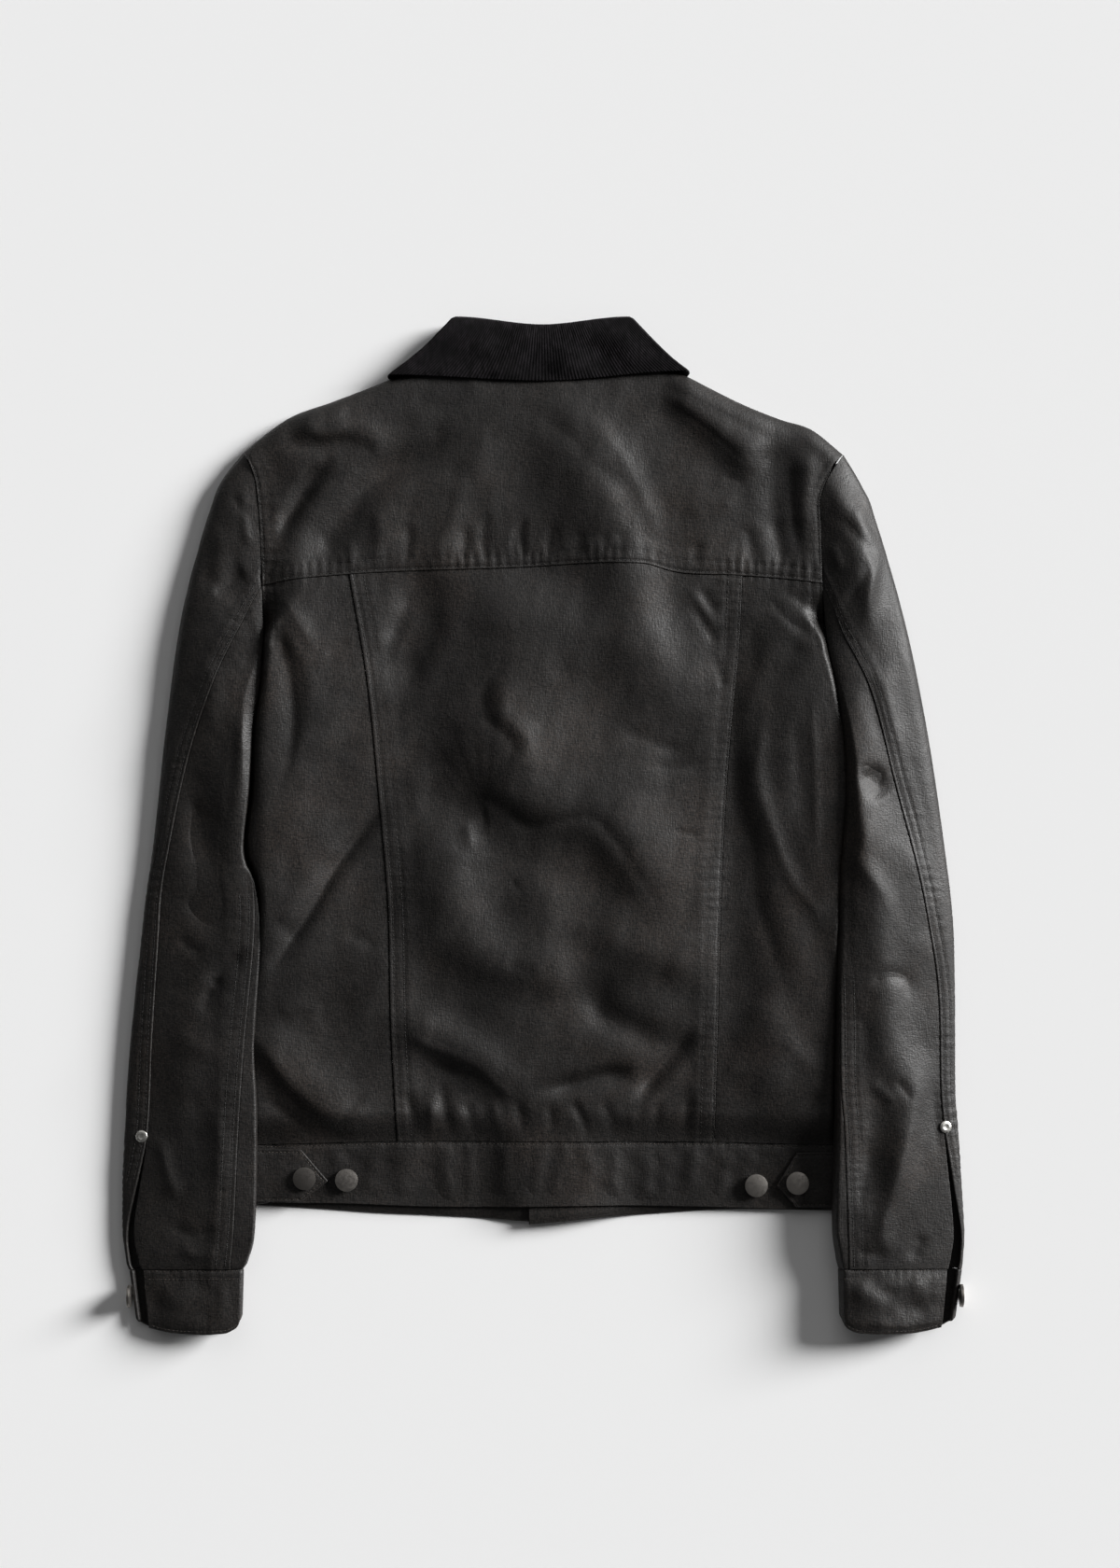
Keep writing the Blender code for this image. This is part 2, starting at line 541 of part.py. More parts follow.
def build_sleeves():
    for side, name, rows, cap in (
        (-1, "left", SLEEVE_LEFT, LEFT_SLEEVE_FOLDS), (1, "right", SLEEVE_RIGHT, RIGHT_SLEEVE_FOLDS)
    ):
        def back(station, width):
            return ring_share(station["back_seam"])

        def under(station, width):
            return ring_share(station["under_seam"])

        def under_past(station, width):
            return under(station, width) + SEAM / width / 2

        def back_round(station, width):
            return 1 + ring_share(np.maximum(station["back_seam"] - (max(station["vent"], 0) + SEAM) / width, 0.004))

        grids = [sleeve_grid(side, rows, cap, back, under, 21, 7, inset) for inset in (0, CLOTH)]
        wall(f"sleeve_under_{name}", *grids)
        grids = [sleeve_grid(side, rows, cap, under_past, back_round, 21, 14, inset) for inset in (0, CLOTH)]
        wall(f"sleeve_top_{name}", *grids)


def cuff_grid(side, rows, columns, inset):
    """A cuff carries the sleeve's last section on, and its lower edge hangs in a shallow curve."""
    last = dict(zip(SLEEVE_COLUMNS, rows[-1]))
    width = np.hypot(last["inner_x"] - last["outer_x"], last["inner_y"] - last["outer_y"])
    gap = last["vent"] / width
    place = np.linspace(ring_share(last["back_seam"] + 0.01), 1 + ring_share(last["back_seam"] - gap), columns) % 1.0
    out = []
    for share in np.linspace(0, 1, 4):
        station = dict(last)
        station["outer_y"] -= SEAM
        station["inner_y"] -= SEAM
        station["outer_x"] -= side * share * 5
        station["inner_x"] += side * share * 1
        ring = sleeve_surface(side, station, 0.0, {}, place, inset, rows)
        s = (1 - np.cos(2 * np.pi * place)) / 2
        ring[:, 1] -= along(CUFF_HEM, s) * share
        out.append(ring)
    return np.array(out)


def build_cuffs():
    for side, name, rows in ((-1, "left", SLEEVE_LEFT), (1, "right", SLEEVE_RIGHT)):
        wall(f"cuff_{name}", cuff_grid(side, rows, 27, 0), cuff_grid(side, rows, 27, BAND))


# Collar

COLLAR_COLUMNS = ("line", "back_half", "back_y", "back_mid_y", "back_z", "side_z", "front_z", "front_x", "front_y")
COLLAR_LINES = (  # from the neck seam over the fold to the free edge
    (0.0, 84, 346, 345.5, 10.3, 7.5, 5.0, 12, 256),
    (0.35, 76, 362, 359.5, 11.0, 7.5, 5.2, 12, 268),
    (0.47, 66, 375.5, 372, 12.0, 7.4, 4.6, 12, 276),
    (0.52, 65, 379.6, 373.6, 14.0, 7.2, 3.0, 12, 277),
    (0.6, 74, 370, 366, 15.6, 7.2, 1.3, 16, 266),
    (0.8, 93, 352, 348, 15.4, 7.2, 1.0, 38, 236),
    (1.0, 113.5, 336.5, 332, 14.6, 7.2, 1.0, 60, 206),
)


def collar_point(turn, line):
    """turn runs from 0 at the left front tip, over 0.5 at the back neck, to 1 at the right front tip."""
    get = {k: along([(row[0], row[i]) for row in COLLAR_LINES], line) for i, k in enumerate(COLLAR_COLUMNS)}
    side = -1 if turn < 0.5 else 1
    shorter = (side > 0) * ease(0.7, 1.0, line)  # the fall ends a little sooner on the right
    get["back_half"] -= 5.5 * shorter
    get["back_y"] += 3.0 * shorter
    q = abs(turn - 0.5) * 2  # 0 at the back neck, 1 at a tip
    if q < 0.5:  # along the back
        share = q / 0.5
        x = get["back_half"] * share
        y = mix(get["back_mid_y"], get["back_y"], ease(0, 1, share))
        z = get["back_z"]
    elif q < 0.66:  # round the side of the neck
        angle = (q - 0.5) / 0.16 * np.pi
        radius = (get["back_z"] - get["front_z"]) / 2
        x = get["back_half"] + 0.35 * radius * np.sin(angle)
        y = get["back_y"] - 1.5 * (1 - np.cos(angle))
        z = get["front_z"] + radius * (1 + np.cos(angle))
    else:  # down a front, under the chest
        share = (q - 0.66) / 0.34
        bend = np.sin(share * np.pi) * 0.12
        x = mix(get["back_half"], get["front_x"], share ** 1.25)
        y = mix(get["back_y"] - 3.0, get["front_y"], share - bend)
        z = get["front_z"]
    return np.array([side * x, y, z])


def build_collar():
    """One folded band round the neck: the stand inside, the fall outside."""
    turns = np.concatenate([
        np.linspace(0, 0.17, 6)[:-1], np.linspace(0.17, 0.25, 6)[:-1], np.linspace(0.25, 0.5, 8)[:-1]
    ])
    turns = np.concatenate([turns, [0.5], 1 - turns[::-1]])
    lines = np.array([0, 0.2, 0.38, 0.47, 0.52, 0.6, 0.72, 0.86, 1.0])
    middle = np.array([[collar_point(t, line) for t in turns] for line in lines])
    along_turn = np.gradient(middle, axis=1)
    along_line = np.gradient(middle, axis=0)
    normal = np.cross(along_turn, along_line)
    normal /= np.linalg.norm(normal, axis=2)[:, :, None]
    wall("collar", middle + normal * CORD / 2, middle - normal * CORD / 2, "corduroy")


# Hardware

def button(name, centre, axis=(0, 0, 1)):
    """A tack button, turned about its own axis; centre is where its post meets the cloth."""
    rings = [
        [(r * np.cos(a), r * np.sin(a), h) for a in np.arange(BUTTON_SIDES) * 2 * np.pi / BUTTON_SIDES]
        for r, h in BUTTON_PROFILE
    ]
    return turned(name, rings, centre, axis)


def turned(name, rings, centre, axis):
    """A closed solid through rings of points, stood on an axis."""
    points = np.array(rings).reshape(-1, 3)
    sides = len(rings[0])
    faces = [list(range(sides))[::-1], [len(points) - sides + i for i in range(sides)]]
    for r in range(len(rings) - 1):
        for i in range(sides):
            j = (i + 1) % sides
            faces.append([r * sides + i, r * sides + j, (r + 1) * sides + j, (r + 1) * sides + i])
    up = np.array(axis, float) / np.linalg.norm(axis)
    across = np.cross([0, 1, 0], up)
    across /= np.linalg.norm(across)
    points = points @ np.array([across, np.cross(up, across), up]) + np.array(centre, float)
    return solid(name, points, faces, "gunmetal", 0.5)


def build_buttons():
    for name, (x, y) in WAIST_BUTTONS.items():
        base = band_facet_top(np.linspace(x - 3, x + 3, 7)).max() + SEAM
        if "tab" in name:
            base += TAB_THICK + SEAM
        button(name, (x, y, base + 0.1))
    for i, y in enumerate(FRONT_BUTTON_YS):
        top = front_rest(FRONT_BUTTON_X, y) - FRONT_BUTTON_DROP
        button(f"front_button_{i + 1}", (FRONT_BUTTON_X, y, top), (0, 0, -1))


def edge_point(side, rows, place, reach, inset=0.0):
    """A point and outward normal on a sleeve's outer surface, at a station place and a share across."""
    def at(p, s):
        values = {
            k: float(along([(i, row[c]) for i, row in enumerate(rows)], p)) for c, k in enumerate(SLEEVE_COLUMNS)
        }
        return sleeve_surface(side, values, 0.0, {}, np.array([ring_share(s)]), inset, rows)[0]

    here = at(place, reach)
    down, over = at(place + 0.05, reach) - here, at(place, reach + 0.01) - here
    normal = np.cross(down, over)
    normal *= np.sign(normal[2])
    return here, normal / np.linalg.norm(normal)


def build_rivets():
    """The rivet at the head of each cuff vent, tipped outwards with the cloth."""
    for side, name, rows, place, reach in (
        (-1, "left", SLEEVE_LEFT, 9.05, 0.135), (1, "right", SLEEVE_RIGHT, 8.97, 0.10)
    ):
        here, normal = edge_point(side, rows, place, reach)
        circle = np.arange(RIVET["sides"]) * 2 * np.pi / RIVET["sides"]
        rings = [
            [(r * np.cos(a), r * np.sin(a), h) for a in circle]
            for r, h in ((RIVET["radius"], 0), (RIVET["radius"], RIVET["height"] * 0.5), (2.6, RIVET["height"]))
        ]
        turned(f"rivet_{name}", rings, here + normal * 0.1, normal)


def build_cuff_buttons():
    """One button on each cuff, on its outer edge and facing outwards."""
    for side, name, rows in ((-1, "left", SLEEVE_LEFT), (1, "right", SLEEVE_RIGHT)):
        last = dict(zip(SLEEVE_COLUMNS, rows[-1]))
        x = last["outer_x"] - side * 2.6
        button(f"cuff_button_{name}", (x + side * 0.7, last["outer_y"] - 20, 8.6), (side, 0, -0.05))


def main():
    for old in list(bpy.data.objects):
        bpy.data.objects.remove(old)
    build_yoke(build_back())
    build_fronts()
    build_waistband()
    build_tabs()
    build_sleeves()
    build_cuffs()
    build_collar()
    build_buttons()
    build_rivets()
    build_cuff_buttons()


main()
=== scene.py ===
import bpy
import math
import numpy as np
from mathutils import Matrix, Vector


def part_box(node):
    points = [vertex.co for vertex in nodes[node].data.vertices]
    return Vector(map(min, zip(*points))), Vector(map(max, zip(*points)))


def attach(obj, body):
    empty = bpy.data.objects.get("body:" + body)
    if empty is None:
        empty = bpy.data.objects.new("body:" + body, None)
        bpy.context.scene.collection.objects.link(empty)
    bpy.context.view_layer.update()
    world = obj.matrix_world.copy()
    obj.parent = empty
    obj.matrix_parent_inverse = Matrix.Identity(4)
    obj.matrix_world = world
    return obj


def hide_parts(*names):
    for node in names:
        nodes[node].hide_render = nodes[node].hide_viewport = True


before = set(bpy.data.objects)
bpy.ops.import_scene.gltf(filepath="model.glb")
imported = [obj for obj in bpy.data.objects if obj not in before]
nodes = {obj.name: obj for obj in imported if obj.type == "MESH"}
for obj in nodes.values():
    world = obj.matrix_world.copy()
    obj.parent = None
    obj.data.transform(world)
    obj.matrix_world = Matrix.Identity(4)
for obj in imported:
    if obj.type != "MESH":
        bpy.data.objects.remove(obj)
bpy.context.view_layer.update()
print("frame loaded:", len(nodes), "nodes")

mm = 0.001
seamGap = 0.3    # between neighbouring pieces
halfGap = seamGap / 2
brow = 6.5       # height of the outermost line of a rounded fold


# curves and soft steps

def ease(low, high, value):    # 0 at low, 1 at high
    q = np.clip((np.asarray(value, float) - low) / (high - low), 0, 1)
    return q * q * (3 - 2 * q)


def dome(q):    # a quarter circle, 0 at 0 and 1 from 1 on
    return np.sqrt(1 - (1 - np.clip(q, 0, 1)) ** 2)


def mix(a, b, share):
    return a + (b - a) * share


def groove(d, width=0.8):    # a bell of height 1, for what sinks along a row of stitches
    return np.exp(-((d / width) ** 2))


def gridOf(x, y, z):
    return np.stack([x, y, z], axis=-1)


def lengthAlong(points):    # the way gone at each point of a line
    return np.concatenate([[0], np.cumsum(np.linalg.norm(np.diff(points, axis=0), axis=1))])


def lengthAcross(grid):    # the same for each row of a grid
    step = np.linalg.norm(np.diff(grid, axis=1), axis=2)
    return np.concatenate([np.zeros((len(grid), 1)), np.cumsum(step, axis=1)], axis=1)


def curve(table, at):    # the smooth curve through rows of (position, value)
    x, value = np.array(table, float).T
    slope = np.gradient(value, x)
    at = np.clip(np.asarray(at, float), x[0], x[-1])
    i = np.clip(np.searchsorted(x, at, side="right") - 1, 0, len(x) - 2)
    span = x[i + 1] - x[i]
    q = (at - x[i]) / span
    return (
        value[i] * (1 + 2 * q) * (1 - q) ** 2 + value[i + 1] * q * q * (3 - 2 * q)
        + span * (slope[i] * q * (1 - q) ** 2 - slope[i + 1] * q * q * (1 - q))
    )


def crease(x, y, path, width, height, sharp=0.0, lean=0.0):    # a ridge or trough along a bent line
    shape = np.shape(x)
    x, y = np.ravel(x), np.ravel(y)
    out = np.zeros(len(x))
    p = np.array(path, float)
    steps = np.linspace(0, len(p) - 1, 6 * (len(p) - 1) + 1)
    line = np.stack([curve(list(enumerate(p[:, k])), steps) for k in (0, 1)], axis=1)
    reach = 3.2 * width
    near = (x > line[:, 0].min() - reach) & (x < line[:, 0].max() + reach)
    near &= (y > line[:, 1].min() - reach) & (y < line[:, 1].max() + reach)
    if not near.any():
        return out.reshape(shape)
    px, py = x[near], y[near]
    best, place, flank = np.full(len(px), 1e9), np.zeros(len(px)), np.zeros(len(px))
    for i, (a, b) in enumerate(zip(line[:-1], line[1:])):
        d = b - a
        t = np.clip(((px - a[0]) * d[0] + (py - a[1]) * d[1]) / (d @ d), 0, 1)
        dx, dy = px - a[0] - t * d[0], py - a[1] - t * d[1]
        away = np.hypot(dx, dy)
        closer = away < best
        place = np.where(closer, (i + t) / (len(line) - 1), place)
        flank = np.where(closer, np.sign(dx * d[1] - dy * d[0]), flank)
        best = np.minimum(best, away)
    q = best / (width * (1 + lean * flank))
    profile = (1 - sharp) * np.exp(-(q ** 2)) + sharp * np.exp(-1.8 * q)
    out[near] = height * profile * ease(0, 0.3, place) * ease(1, 0.7, place)
    return out.reshape(shape)


def creases(table, x, y):
    return sum(crease(x, y, *row) for row in table)


def unevenness(x, y, seed, size, count=5):    # soft wandering waves, about size mm across
    chance = np.random.default_rng(seed)
    total = 0
    for k in range(count):
        angle, phase, stretch = chance.uniform(0, 2 * np.pi, 2).tolist() + [chance.uniform(0.7, 1.5)]
        w = 2 * np.pi / (size * stretch)
        bend = 0.8 * np.sin(w * 0.6 * (x * np.sin(angle) - y * np.cos(angle)) + phase * 1.7)
        total = total + np.sin(w * (x * np.cos(angle) + y * np.sin(angle)) + phase + bend)
    return total / count


# the cut: seam lines and outlines, rows of (x, y) or (y, x) in mm

cut = {
    "topEdge": (
        (-224, 279), (-211, 290), (-193, 303), (-157, 317), (-127, 328.5), (-106, 337), (-82, 343),
        (0, 342), (82, 343), (106, 337), (125, 327.5), (146, 317), (179, 303.5), (202, 296), (226, 277),
    ),
    "yokeSeam": (
        (-212, 178), (-189, 182.4), (-145, 186.6), (-24, 191.5), (61, 195), (78, 194.3), (97, 189),
        (146, 186), (190, 182.4), (212, 179.6),
    ),
    "waistSeam": ((-235, -242), (-109, -239), (0, -238.8), (129, -239.5), (235, -242)),
    "hemBack": ((-235, -286.5), (-167, -285.3), (-82, -288), (61, -287), (118, -288), (235, -291.5)),
    "hemLeft": (
        (-235, -286.5), (-168, -290), (-127, -293), (-82, -295), (-42, -297.2), (-10, -299.4), (20, -300),
    ),
    "hemRight": ((-10, -301.5), (20, -298.8), (41, -296.5), (83, -293.7), (125, -291), (235, -291.5)),
    "armholeLeft": ((131, -208.6), (177, -210), (212, -211.4), (236, -212.8), (263, -217), (279, -224)),
    "armholeRight": (
        (128, 214.5), (163, 210.7), (198, 209.3), (222, 208.6), (247, 209), (261, 214.9), (277, 226),
    ),
    "sideLeft": ((-290, -232), (-200, -235), (-100, -242), (0, -248), (85, -250), (112, -231), (131, -208.6)),
    "sideRight": ((-294, 232), (-200, 236), (-100, 242), (0, 248), (85, 250), (110, 232), (128, 214.5)),
    "princessLeft": ((-240, -109), (-157, -113.4), (-51, -116.2), (12, -121.8), (109, -131.6), (188, -145)),
    "princessRight": ((-240, 129), (-146, 131.6), (-10, 135.8), (72, 141.4), (128, 147), (188, 150)),
    "frontNeck": ((0, 250), (20, 254), (50, 275), (72, 308), (84, 334)),
    "lapRight": -10.0,
    "lapLeft": 17.0,
}

# one row for each section of a sleeve, shoulder to cuff:
# outer x, y, inner x, y, crown, back seam, under seam, vent, lean
sleeveLeft = {
    "side": -1, "name": "left", "armhole": cut["armholeLeft"],
    "rows": (
        (-224, 279, -208.6, 131, 14.5, 0.68, 1.03, 0, 0),
        (-240.5, 257.5, -209.3, 119, 16.5, 0.66, 1.03, 0, 1),
        (-250.6, 233, -210, 107, 18, 0.63, 1.03, 0, 2.5),
        (-271, 156, -216, 72, 22, 0.50, 1.03, 0, 5),
        (-283.5, 65, -219, 24, 23, 0.30, 1.03, 0, 8),
        (-292, -16, -223, -21, 22, 0.18, 1.01, 0, 10),
        (-297, -51, -214, -46, 22, 0.14, 0.975, 0, 11),
        (-301, -86, -210, -86, 22, 0.145, 0.94, 0, 11),
        (-309.4, -163, -215, -163, 21, 0.178, 0.92, 0, 11),
        (-314, -233, -213.5, -219, 20, 0.18, 0.868, 0, 11),
        (-315.7, -299, -215, -301, 19, 0.094, 0.844, 5.0, 10),
        (-313, -327, -220.5, -327, 18, 0.105, 0.864, 7.5, 8),
        (-310.8, -335, -224, -333.6, 17.2, 0.12, 0.89, 8.0, 7),
    ),
    "folds": (
        (((-246, 172), (-232, 184), (-222, 190)), 8, -1.6),
        (((-226, 95), (-224, 40), (-228, -10)), 8, 2.2),
        (((-262, 60), (-255, 0), (-240, -50)), 14, -3.0),
        (((-218, -96), (-240, -112), (-256, -140)), 7, -2.0),
        (((-262, -120), (-268, -180), (-262, -250)), 16, 2.0),
    ),
    "creases": (
        (((-234, 250), (-227, 239), (-220, 229)), 4, -1.4, 0.6),
        (((-248, 173), (-237, 178), (-224, 189)), 7, -1.4, 0.5),
        (((-215, 153), (-213, 127), (-224, 87), (-222, 23), (-223, -19)), 6, 1.6, 0.4),
        (((-247, 24), (-251, -33), (-246, -98)), 14, -2.6, 0.2),
        (((-262, 24), (-260, -2), (-256, -29)), 5, -1.6, 0.4),
        (((-256, -116), (-244, -110), (-232, -102), (-216, -93)), 6, -1.4, 0.6),
        (((-247, -121), (-244, -119), (-239, -116)), 4, -1.2, 0.5),
        (((-248, -122), (-251, -133), (-253, -143)), 5, -0.9, 0.5),
        (((-288, -229), (-281, -261), (-272, -285)), 6, 1.8, 0.4),
        (((-239, 226), (-244, 198), (-240, 170)), 9, 1.4, 0.2),
        (((-253, 128), (-247, 100), (-251, 65)), 10, 1.4, 0.2),
        (((-267, -54), (-257, -65), (-239, -68)), 6, -1.6, 0.4),
        (((-274, -82), (-264, -93), (-251, -96)), 5, -1.2, 0.5),
        (((-274, -152), (-263, -166), (-239, -170)), 9, 1.3, 0.2),
        (((-267, -194), (-258, -222), (-262, -250)), 12, -1.3, 0.2),
        (((-246, -208), (-240, -243), (-244, -278)), 8, 1.2, 0.2),
        (((-281, -299), (-263, -308), (-241, -303)), 6, -1.4, 0.4),
        (((-274, -319), (-256, -323), (-239, -319)), 5, 1.2, 0.3),
        (((-257, 226), (-251, 198), (-253, 170)), 8, -1.6, 0.2),
        (((-226, 254), (-223, 226), (-219, 205)), 4, 1.2, 0.3),
    ),
}
sleeveRight = {
    "side": 1, "name": "right", "armhole": cut["armholeRight"],
    "rows": (
        (226, 277, 214.5, 128, 14.5, 0.65, 1.03, 0, 0),
        (239.8, 254, 217.5, 113, 16.5, 0.665, 1.03, 0, 1),
        (249, 233, 220, 98, 18, 0.68, 1.03, 0, 2.5),
        (273, 149, 224.7, 63, 22, 0.555, 1.03, 0, 5),
        (290, 65, 225.4, 19, 23, 0.465, 1.03, 0, 8),
        (302.4, -19, 221, -35, 23, 0.30, 1.02, 0, 10),
        (308.7, -75, 220, -79, 22, 0.22, 0.985, 0, 11),
        (309.8, -128, 219, -128, 21, 0.143, 0.965, 0, 11),
        (310, -198, 218.4, -196, 21, 0.126, 0.95, 0, 11),
        (312, -229, 218.4, -228, 20, 0.116, 0.925, 0, 11),
        (317, -301, 217, -298, 18, 0.085, 0.888, 5.5, 10),
        (316.4, -324, 220, -324, 17.5, 0.10, 0.906, 7.5, 8),
        (315.4, -334.3, 222, -333, 17, 0.115, 0.922, 8.0, 7),
    ),
    "folds": (
        (((226, 284), (236, 250), (245, 215), (243, 180), (234, 130)), 19, 9.0, 0, 0.4),
        ((
            (236, 150), (238, 100), (236, 40), (242, 0), (245, -40), (251, -80), (257, -130), (263, -190),
            (263, -260), (258, -345),
        ), 20, 5.4, 0, 0.1),
        (((240, 42), (248, 30), (256, 18)), 9, -3.0),
        (((262, 20), (275, -60), (285, -120)), 16, 2.6),
        (((284, -160), (272, -230), (262, -290)), 12, 3.0),
        (((256, -170), (250, -225), (244, -290)), 12, -2.6),
    ),
    "creases": (
        (((220, 233), (240, 211), (250, 199)), 6, -2.2, 0.5),
        (((250, 198), (239, 182), (225, 159)), 6, -2.0, 0.5),
        (((225, 252), (242, 222), (253, 201), (245, 173), (246, 142)), 5, 2.0, 0.4),
        (((216, 211), (220, 199), (224, 188)), 5, 1.4, 0.2),
        (((235, 45), (246, 37), (257, 31)), 7, -2.6, 0.4),
        (((228, 35), (240, -5), (237, -28), (253, -51), (263, -82)), 8, 2.2, 0.3),
        (((244, -124), (255, -113), (272, -116), (276, -135)), 6, -2.0, 0.5),
        (((243, -191), (254, -200), (265, -209)), 5, 1.6, 0.4),
        (((264, -189), (270, -198), (278, -208)), 4, -1.5, 0.5),
        (((286, -162), (276, -226), (262, -275), (254, -307), (264, -328)), 8, 2.6, 0.3),
        (((276, -328), (281, -317), (285, -307)), 6, -1.6, 0.4),
        (((255, 128), (260, 86), (271, 44)), 9, 1.6, 0.2),
        (((241, 114), (248, 86), (254, 58)), 8, -1.4, 0.2),
        (((276, -12), (285, -47), (288, -82)), 9, 1.4, 0.2),
        (((234, -138), (241, -159), (236, -187)), 9, -1.4, 0.2),
        (((244, -229), (241, -264), (236, -292)), 8, -1.6, 0.3),
        (((293, -187), (295, -222), (300, -257)), 5, -1.2, 0.3),
        (((232, -313), (244, -322), (262, -319)), 5, -1.2, 0.4),
        (((237, 226), (248, 240), (251, 254)), 8, 1.2, 0.2),
        (((262, 184), (267, 156), (270, 128)), 9, -1.2, 0.2),
    ),
}


# meshes and materials

def makeMesh(name, points, faces, material):
    mesh = bpy.data.meshes.new(name)
    points = np.asarray(points, np.float32) * mm
    faces = np.asarray(faces, np.int32)
    mesh.vertices.add(len(points))
    mesh.vertices.foreach_set("co", points.ravel())
    mesh.loops.add(faces.size)
    mesh.loops.foreach_set("vertex_index", faces.ravel())
    mesh.polygons.add(len(faces))
    mesh.polygons.foreach_set("loop_start", np.arange(len(faces), dtype=np.int32) * faces.shape[1])
    mesh.update(calc_edges=True)
    mesh.validate()
    mesh.shade_smooth()
    mesh.materials.append(material)
    piece = bpy.data.objects.new(name, mesh)
    bpy.context.scene.collection.objects.link(piece)
    return piece


def clothWall(name, outer, inner, material):    # a closed shell between two grids of points
    rows, columns = outer.shape[:2]
    size = rows * columns
    at = np.arange(size).reshape(rows, columns)
    a, b, c, d = (g.ravel() for g in (at[:-1, :-1], at[:-1, 1:], at[1:, 1:], at[1:, :-1]))
    top = np.stack([a, b, c, d], axis=1)
    rim = np.concatenate([at[0, :], at[1:, -1], at[-1, -2::-1], at[-2:0:-1, 0]])
    rimNext = np.roll(rim, -1)
    sides = np.stack([rimNext, rim, size + rim, size + rimNext], axis=1)
    faces = np.concatenate([top, size + top[:, ::-1], sides])
    points = np.concatenate([outer.reshape(-1, 3), inner.reshape(-1, 3)])
    p = points[top]    # the shell faces outwards when its signed volume is positive
    q = points[size + top[:, ::-1]]
    volume = sum(
        np.einsum("ij,ij->i", np.cross(g[:, 0], g[:, 1]), g[:, 2]).sum()
        + np.einsum("ij,ij->i", np.cross(g[:, 0], g[:, 2]), g[:, 3]).sum() for g in (p, q, points[sides])
    )
    if volume < 0:
        faces = faces[:, ::-1]
    return makeMesh(name, points, faces, material)


def finishPiece(piece, slotName, *replaced):
    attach(piece, "root")
    if replaced:
        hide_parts(*replaced)
    return piece


def link(tree, a, output, b, socket):
    tree.links.new(a.outputs[output], b.inputs[socket])


def newMaterial(name):
    material = bpy.data.materials.new(name)
    material.use_nodes = True
    tree = material.node_tree
    return material, tree, tree.nodes["Principled BSDF"]


def noiseNode(tree, coords, scale, detail, rough=0.5, stretch=(1, 1, 1)):
    mapping = tree.nodes.new("ShaderNodeMapping")
    mapping.inputs["Scale"].default_value = stretch
    link(tree, coords, "Object", mapping, "Vector")
    noise = tree.nodes.new("ShaderNodeTexNoise")
    noise.inputs["Scale"].default_value = scale
    noise.inputs["Detail"].default_value = detail
    noise.inputs["Roughness"].default_value = rough
    link(tree, mapping, "Vector", noise, "Vector")
    return noise


def rampNode(tree, source, output, stops):
    ramp = tree.nodes.new("ShaderNodeValToRGB")
    while len(ramp.color_ramp.elements) < len(stops):
        ramp.color_ramp.elements.new(0.5)
    for element, (place, tone) in zip(ramp.color_ramp.elements, stops):
        element.position = place
        element.color = (*tone, 1) if hasattr(tone, "__len__") else (tone, tone, tone, 1)
    link(tree, source, output, ramp, "Fac")
    return ramp


def multiplyNode(tree, a, output, b):    # the colour of one node multiplied by a ramp's
    blend = tree.nodes.new("ShaderNodeMix")
    blend.data_type = "RGBA"
    blend.blend_type = "MULTIPLY"
    blend.inputs["Factor"].default_value = 1.0
    link(tree, a, output, blend, "A")
    link(tree, b, "Color", blend, "B")
    return blend


def bumpNode(tree, source, output, strength, distance):
    bump = tree.nodes.new("ShaderNodeBump")
    bump.inputs["Strength"].default_value = strength
    bump.inputs["Distance"].default_value = distance
    link(tree, source, output, bump, "Height")
    return bump


waxedCloth = {
    "dark": (0.0055, 0.0046, 0.0041),
    "middle": (0.0090, 0.0075, 0.0066),
    "rubbed": (0.0152, 0.0115, 0.0094),
    "roughness": (0.50, 0.62),
    "specular": 0.42,
    "patchScale": 14,
    "grainScale": 560,
    "sheenScale": 26,
    "threadScale": 900,
    "crumpleScale": 95,
    "weaveBump": (0.55, 0.0004),    # strength, distance in metres
    "crumpleBump": (0.14, 0.0012),
}


def waxedMaterial():
    s = waxedCloth
    material, tree, shader = newMaterial("waxedCotton")
    coords = tree.nodes.new("ShaderNodeTexCoord")
    patches = noiseNode(tree, coords, s["patchScale"], 4, 0.6)    # wax lies unevenly, in soft patches
    colour = rampNode(tree, patches, "Fac", ((0.32, s["dark"]), (0.52, s["middle"]), (0.72, s["rubbed"])))
    grain = noiseNode(tree, coords, s["grainScale"], 3, 0.75)
    flecks = rampNode(tree, grain, "Fac", ((0.34, 0.1), (0.66, 2.1)))
    link(tree, multiplyNode(tree, colour, "Color", flecks), "Result", shader, "Base Color")
    low, high = s["roughness"]
    shine = noiseNode(tree, coords, s["sheenScale"], 5, 0.65)
    rough = rampNode(tree, shine, "Fac", ((0.35, low), (0.68, high)))
    link(tree, rough, "Color", shader, "Roughness")
    weave = tree.nodes.new("ShaderNodeMath")
    weave.operation = "ADD"
    for i, stretch in enumerate(((1, 0.25, 1), (0.25, 1, 1))):    # warp and weft
        link(tree, noiseNode(tree, coords, s["threadScale"], 1, 0.5, stretch), "Fac", weave, i)
    fine = bumpNode(tree, weave, "Value", *s["weaveBump"])
    soft = noiseNode(tree, coords, s["crumpleScale"], 4, 0.6)
    crumple = bumpNode(tree, soft, "Fac", *s["crumpleBump"])
    link(tree, fine, "Normal", crumple, "Normal")
    link(tree, crumple, "Normal", shader, "Normal")
    shader.inputs["Specular IOR Level"].default_value = s["specular"]
    return material


